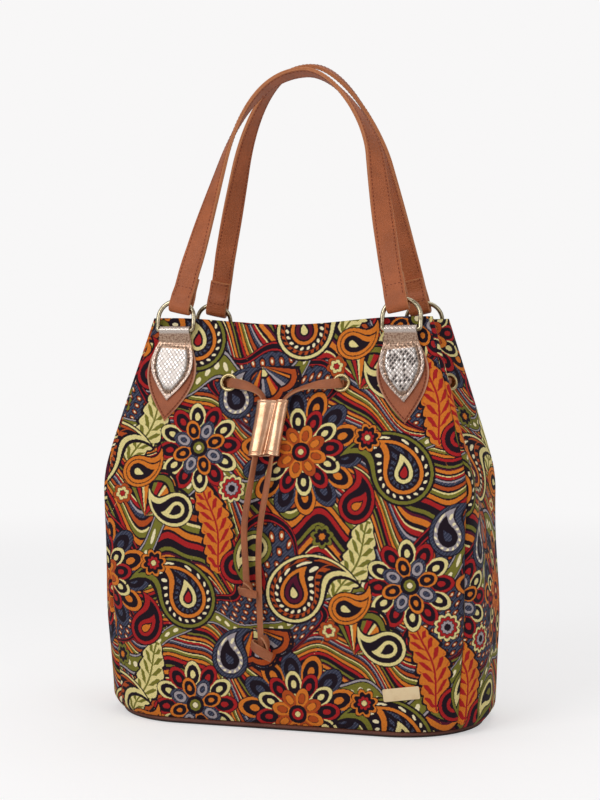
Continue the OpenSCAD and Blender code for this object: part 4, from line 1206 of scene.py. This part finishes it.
# pale floor, soft studio light, even pale surround
stageSet = {"floor": colour(236, 236, 237), "surround": colour(248, 247, 247), "sky": 0.42, "glow": 2.7,
        "share": 0.18, "near": 0.5, "far": 1.8, "lamps": (("keyLamp", (-0.9, -1.7, 1.3), 1.1, 13.0),
        ("fillLamp", (1.6, -1.2, 0.9), 1.0, 4.0), ("topLamp", (0.1, 0.3, 1.9), 1.6, 7.0))}

def makeStage(p):
    scene = bpy.context.scene
    scene.view_settings.view_transform = "Standard"
    only()
    bpy.ops.mesh.primitive_plane_add(size=14, location=(0, 0, 0))
    floor = bpy.context.object
    floor.name = floor.data.name = "studioFloor"
    f = Finish("studioFloor", Roughness=0.95, Specular_IOR_Level=0.05)
    spot = f.place()
    x, y, z = f.split(spot)
    f.to(Base_Color=f.tint(f.noise(spot, 3.0, 1.0), p["floor"], colour(240, 240, 240)))
    seen = f.node("ShaderNodeLightPath", None, None, 0)
    glow = f.node("ShaderNodeEmission", None, {"Color": p["surround"], "Strength": p["glow"]})
    plain = f.node("ShaderNodeEmission", None, {"Color": p["surround"], "Strength": 1.0})
    lit = f.node("ShaderNodeMixShader", None, [seen * p["share"], Value(f, f.shader.outputs[0]), glow])
    away = f.length(x, y).step(p["near"], p["far"])  # far off, the floor is as pale as the surround
    mixed = f.node("ShaderNodeMixShader", None, [seen * away, lit, plain])
    f.tree.links.new(mixed.socket, f.tree.nodes["Material Output"].inputs["Surface"])
    floor.data.materials.append(f.material)
    world = bpy.data.worlds.new("studio")
    scene.world = world
    world.use_nodes = True
    tree = world.node_tree
    back = tree.nodes["Background"]
    back.inputs["Color"].default_value = p["surround"]
    ray = tree.nodes.new("ShaderNodeLightPath")
    level = tree.nodes.new("ShaderNodeMapRange")
    level.inputs["To Min"].default_value = p["sky"]
    level.inputs["To Max"].default_value = 1.0
    tree.links.new(ray.outputs["Is Camera Ray"], level.inputs["Value"])
    tree.links.new(level.outputs[0], back.inputs["Strength"])
    for name, place, size, power in p["lamps"]:
        bpy.ops.object.light_add(type="AREA", location=place)
        lamp = bpy.context.object
        lamp.name = name
        lamp.data.size = size
        lamp.data.energy = power
        lamp.rotation_euler = (Vector((0, 0, 0.2)) - Vector(place)).to_track_quat("-Z", "Y").to_euler()

makeStage(stageSet)
print("stage made")
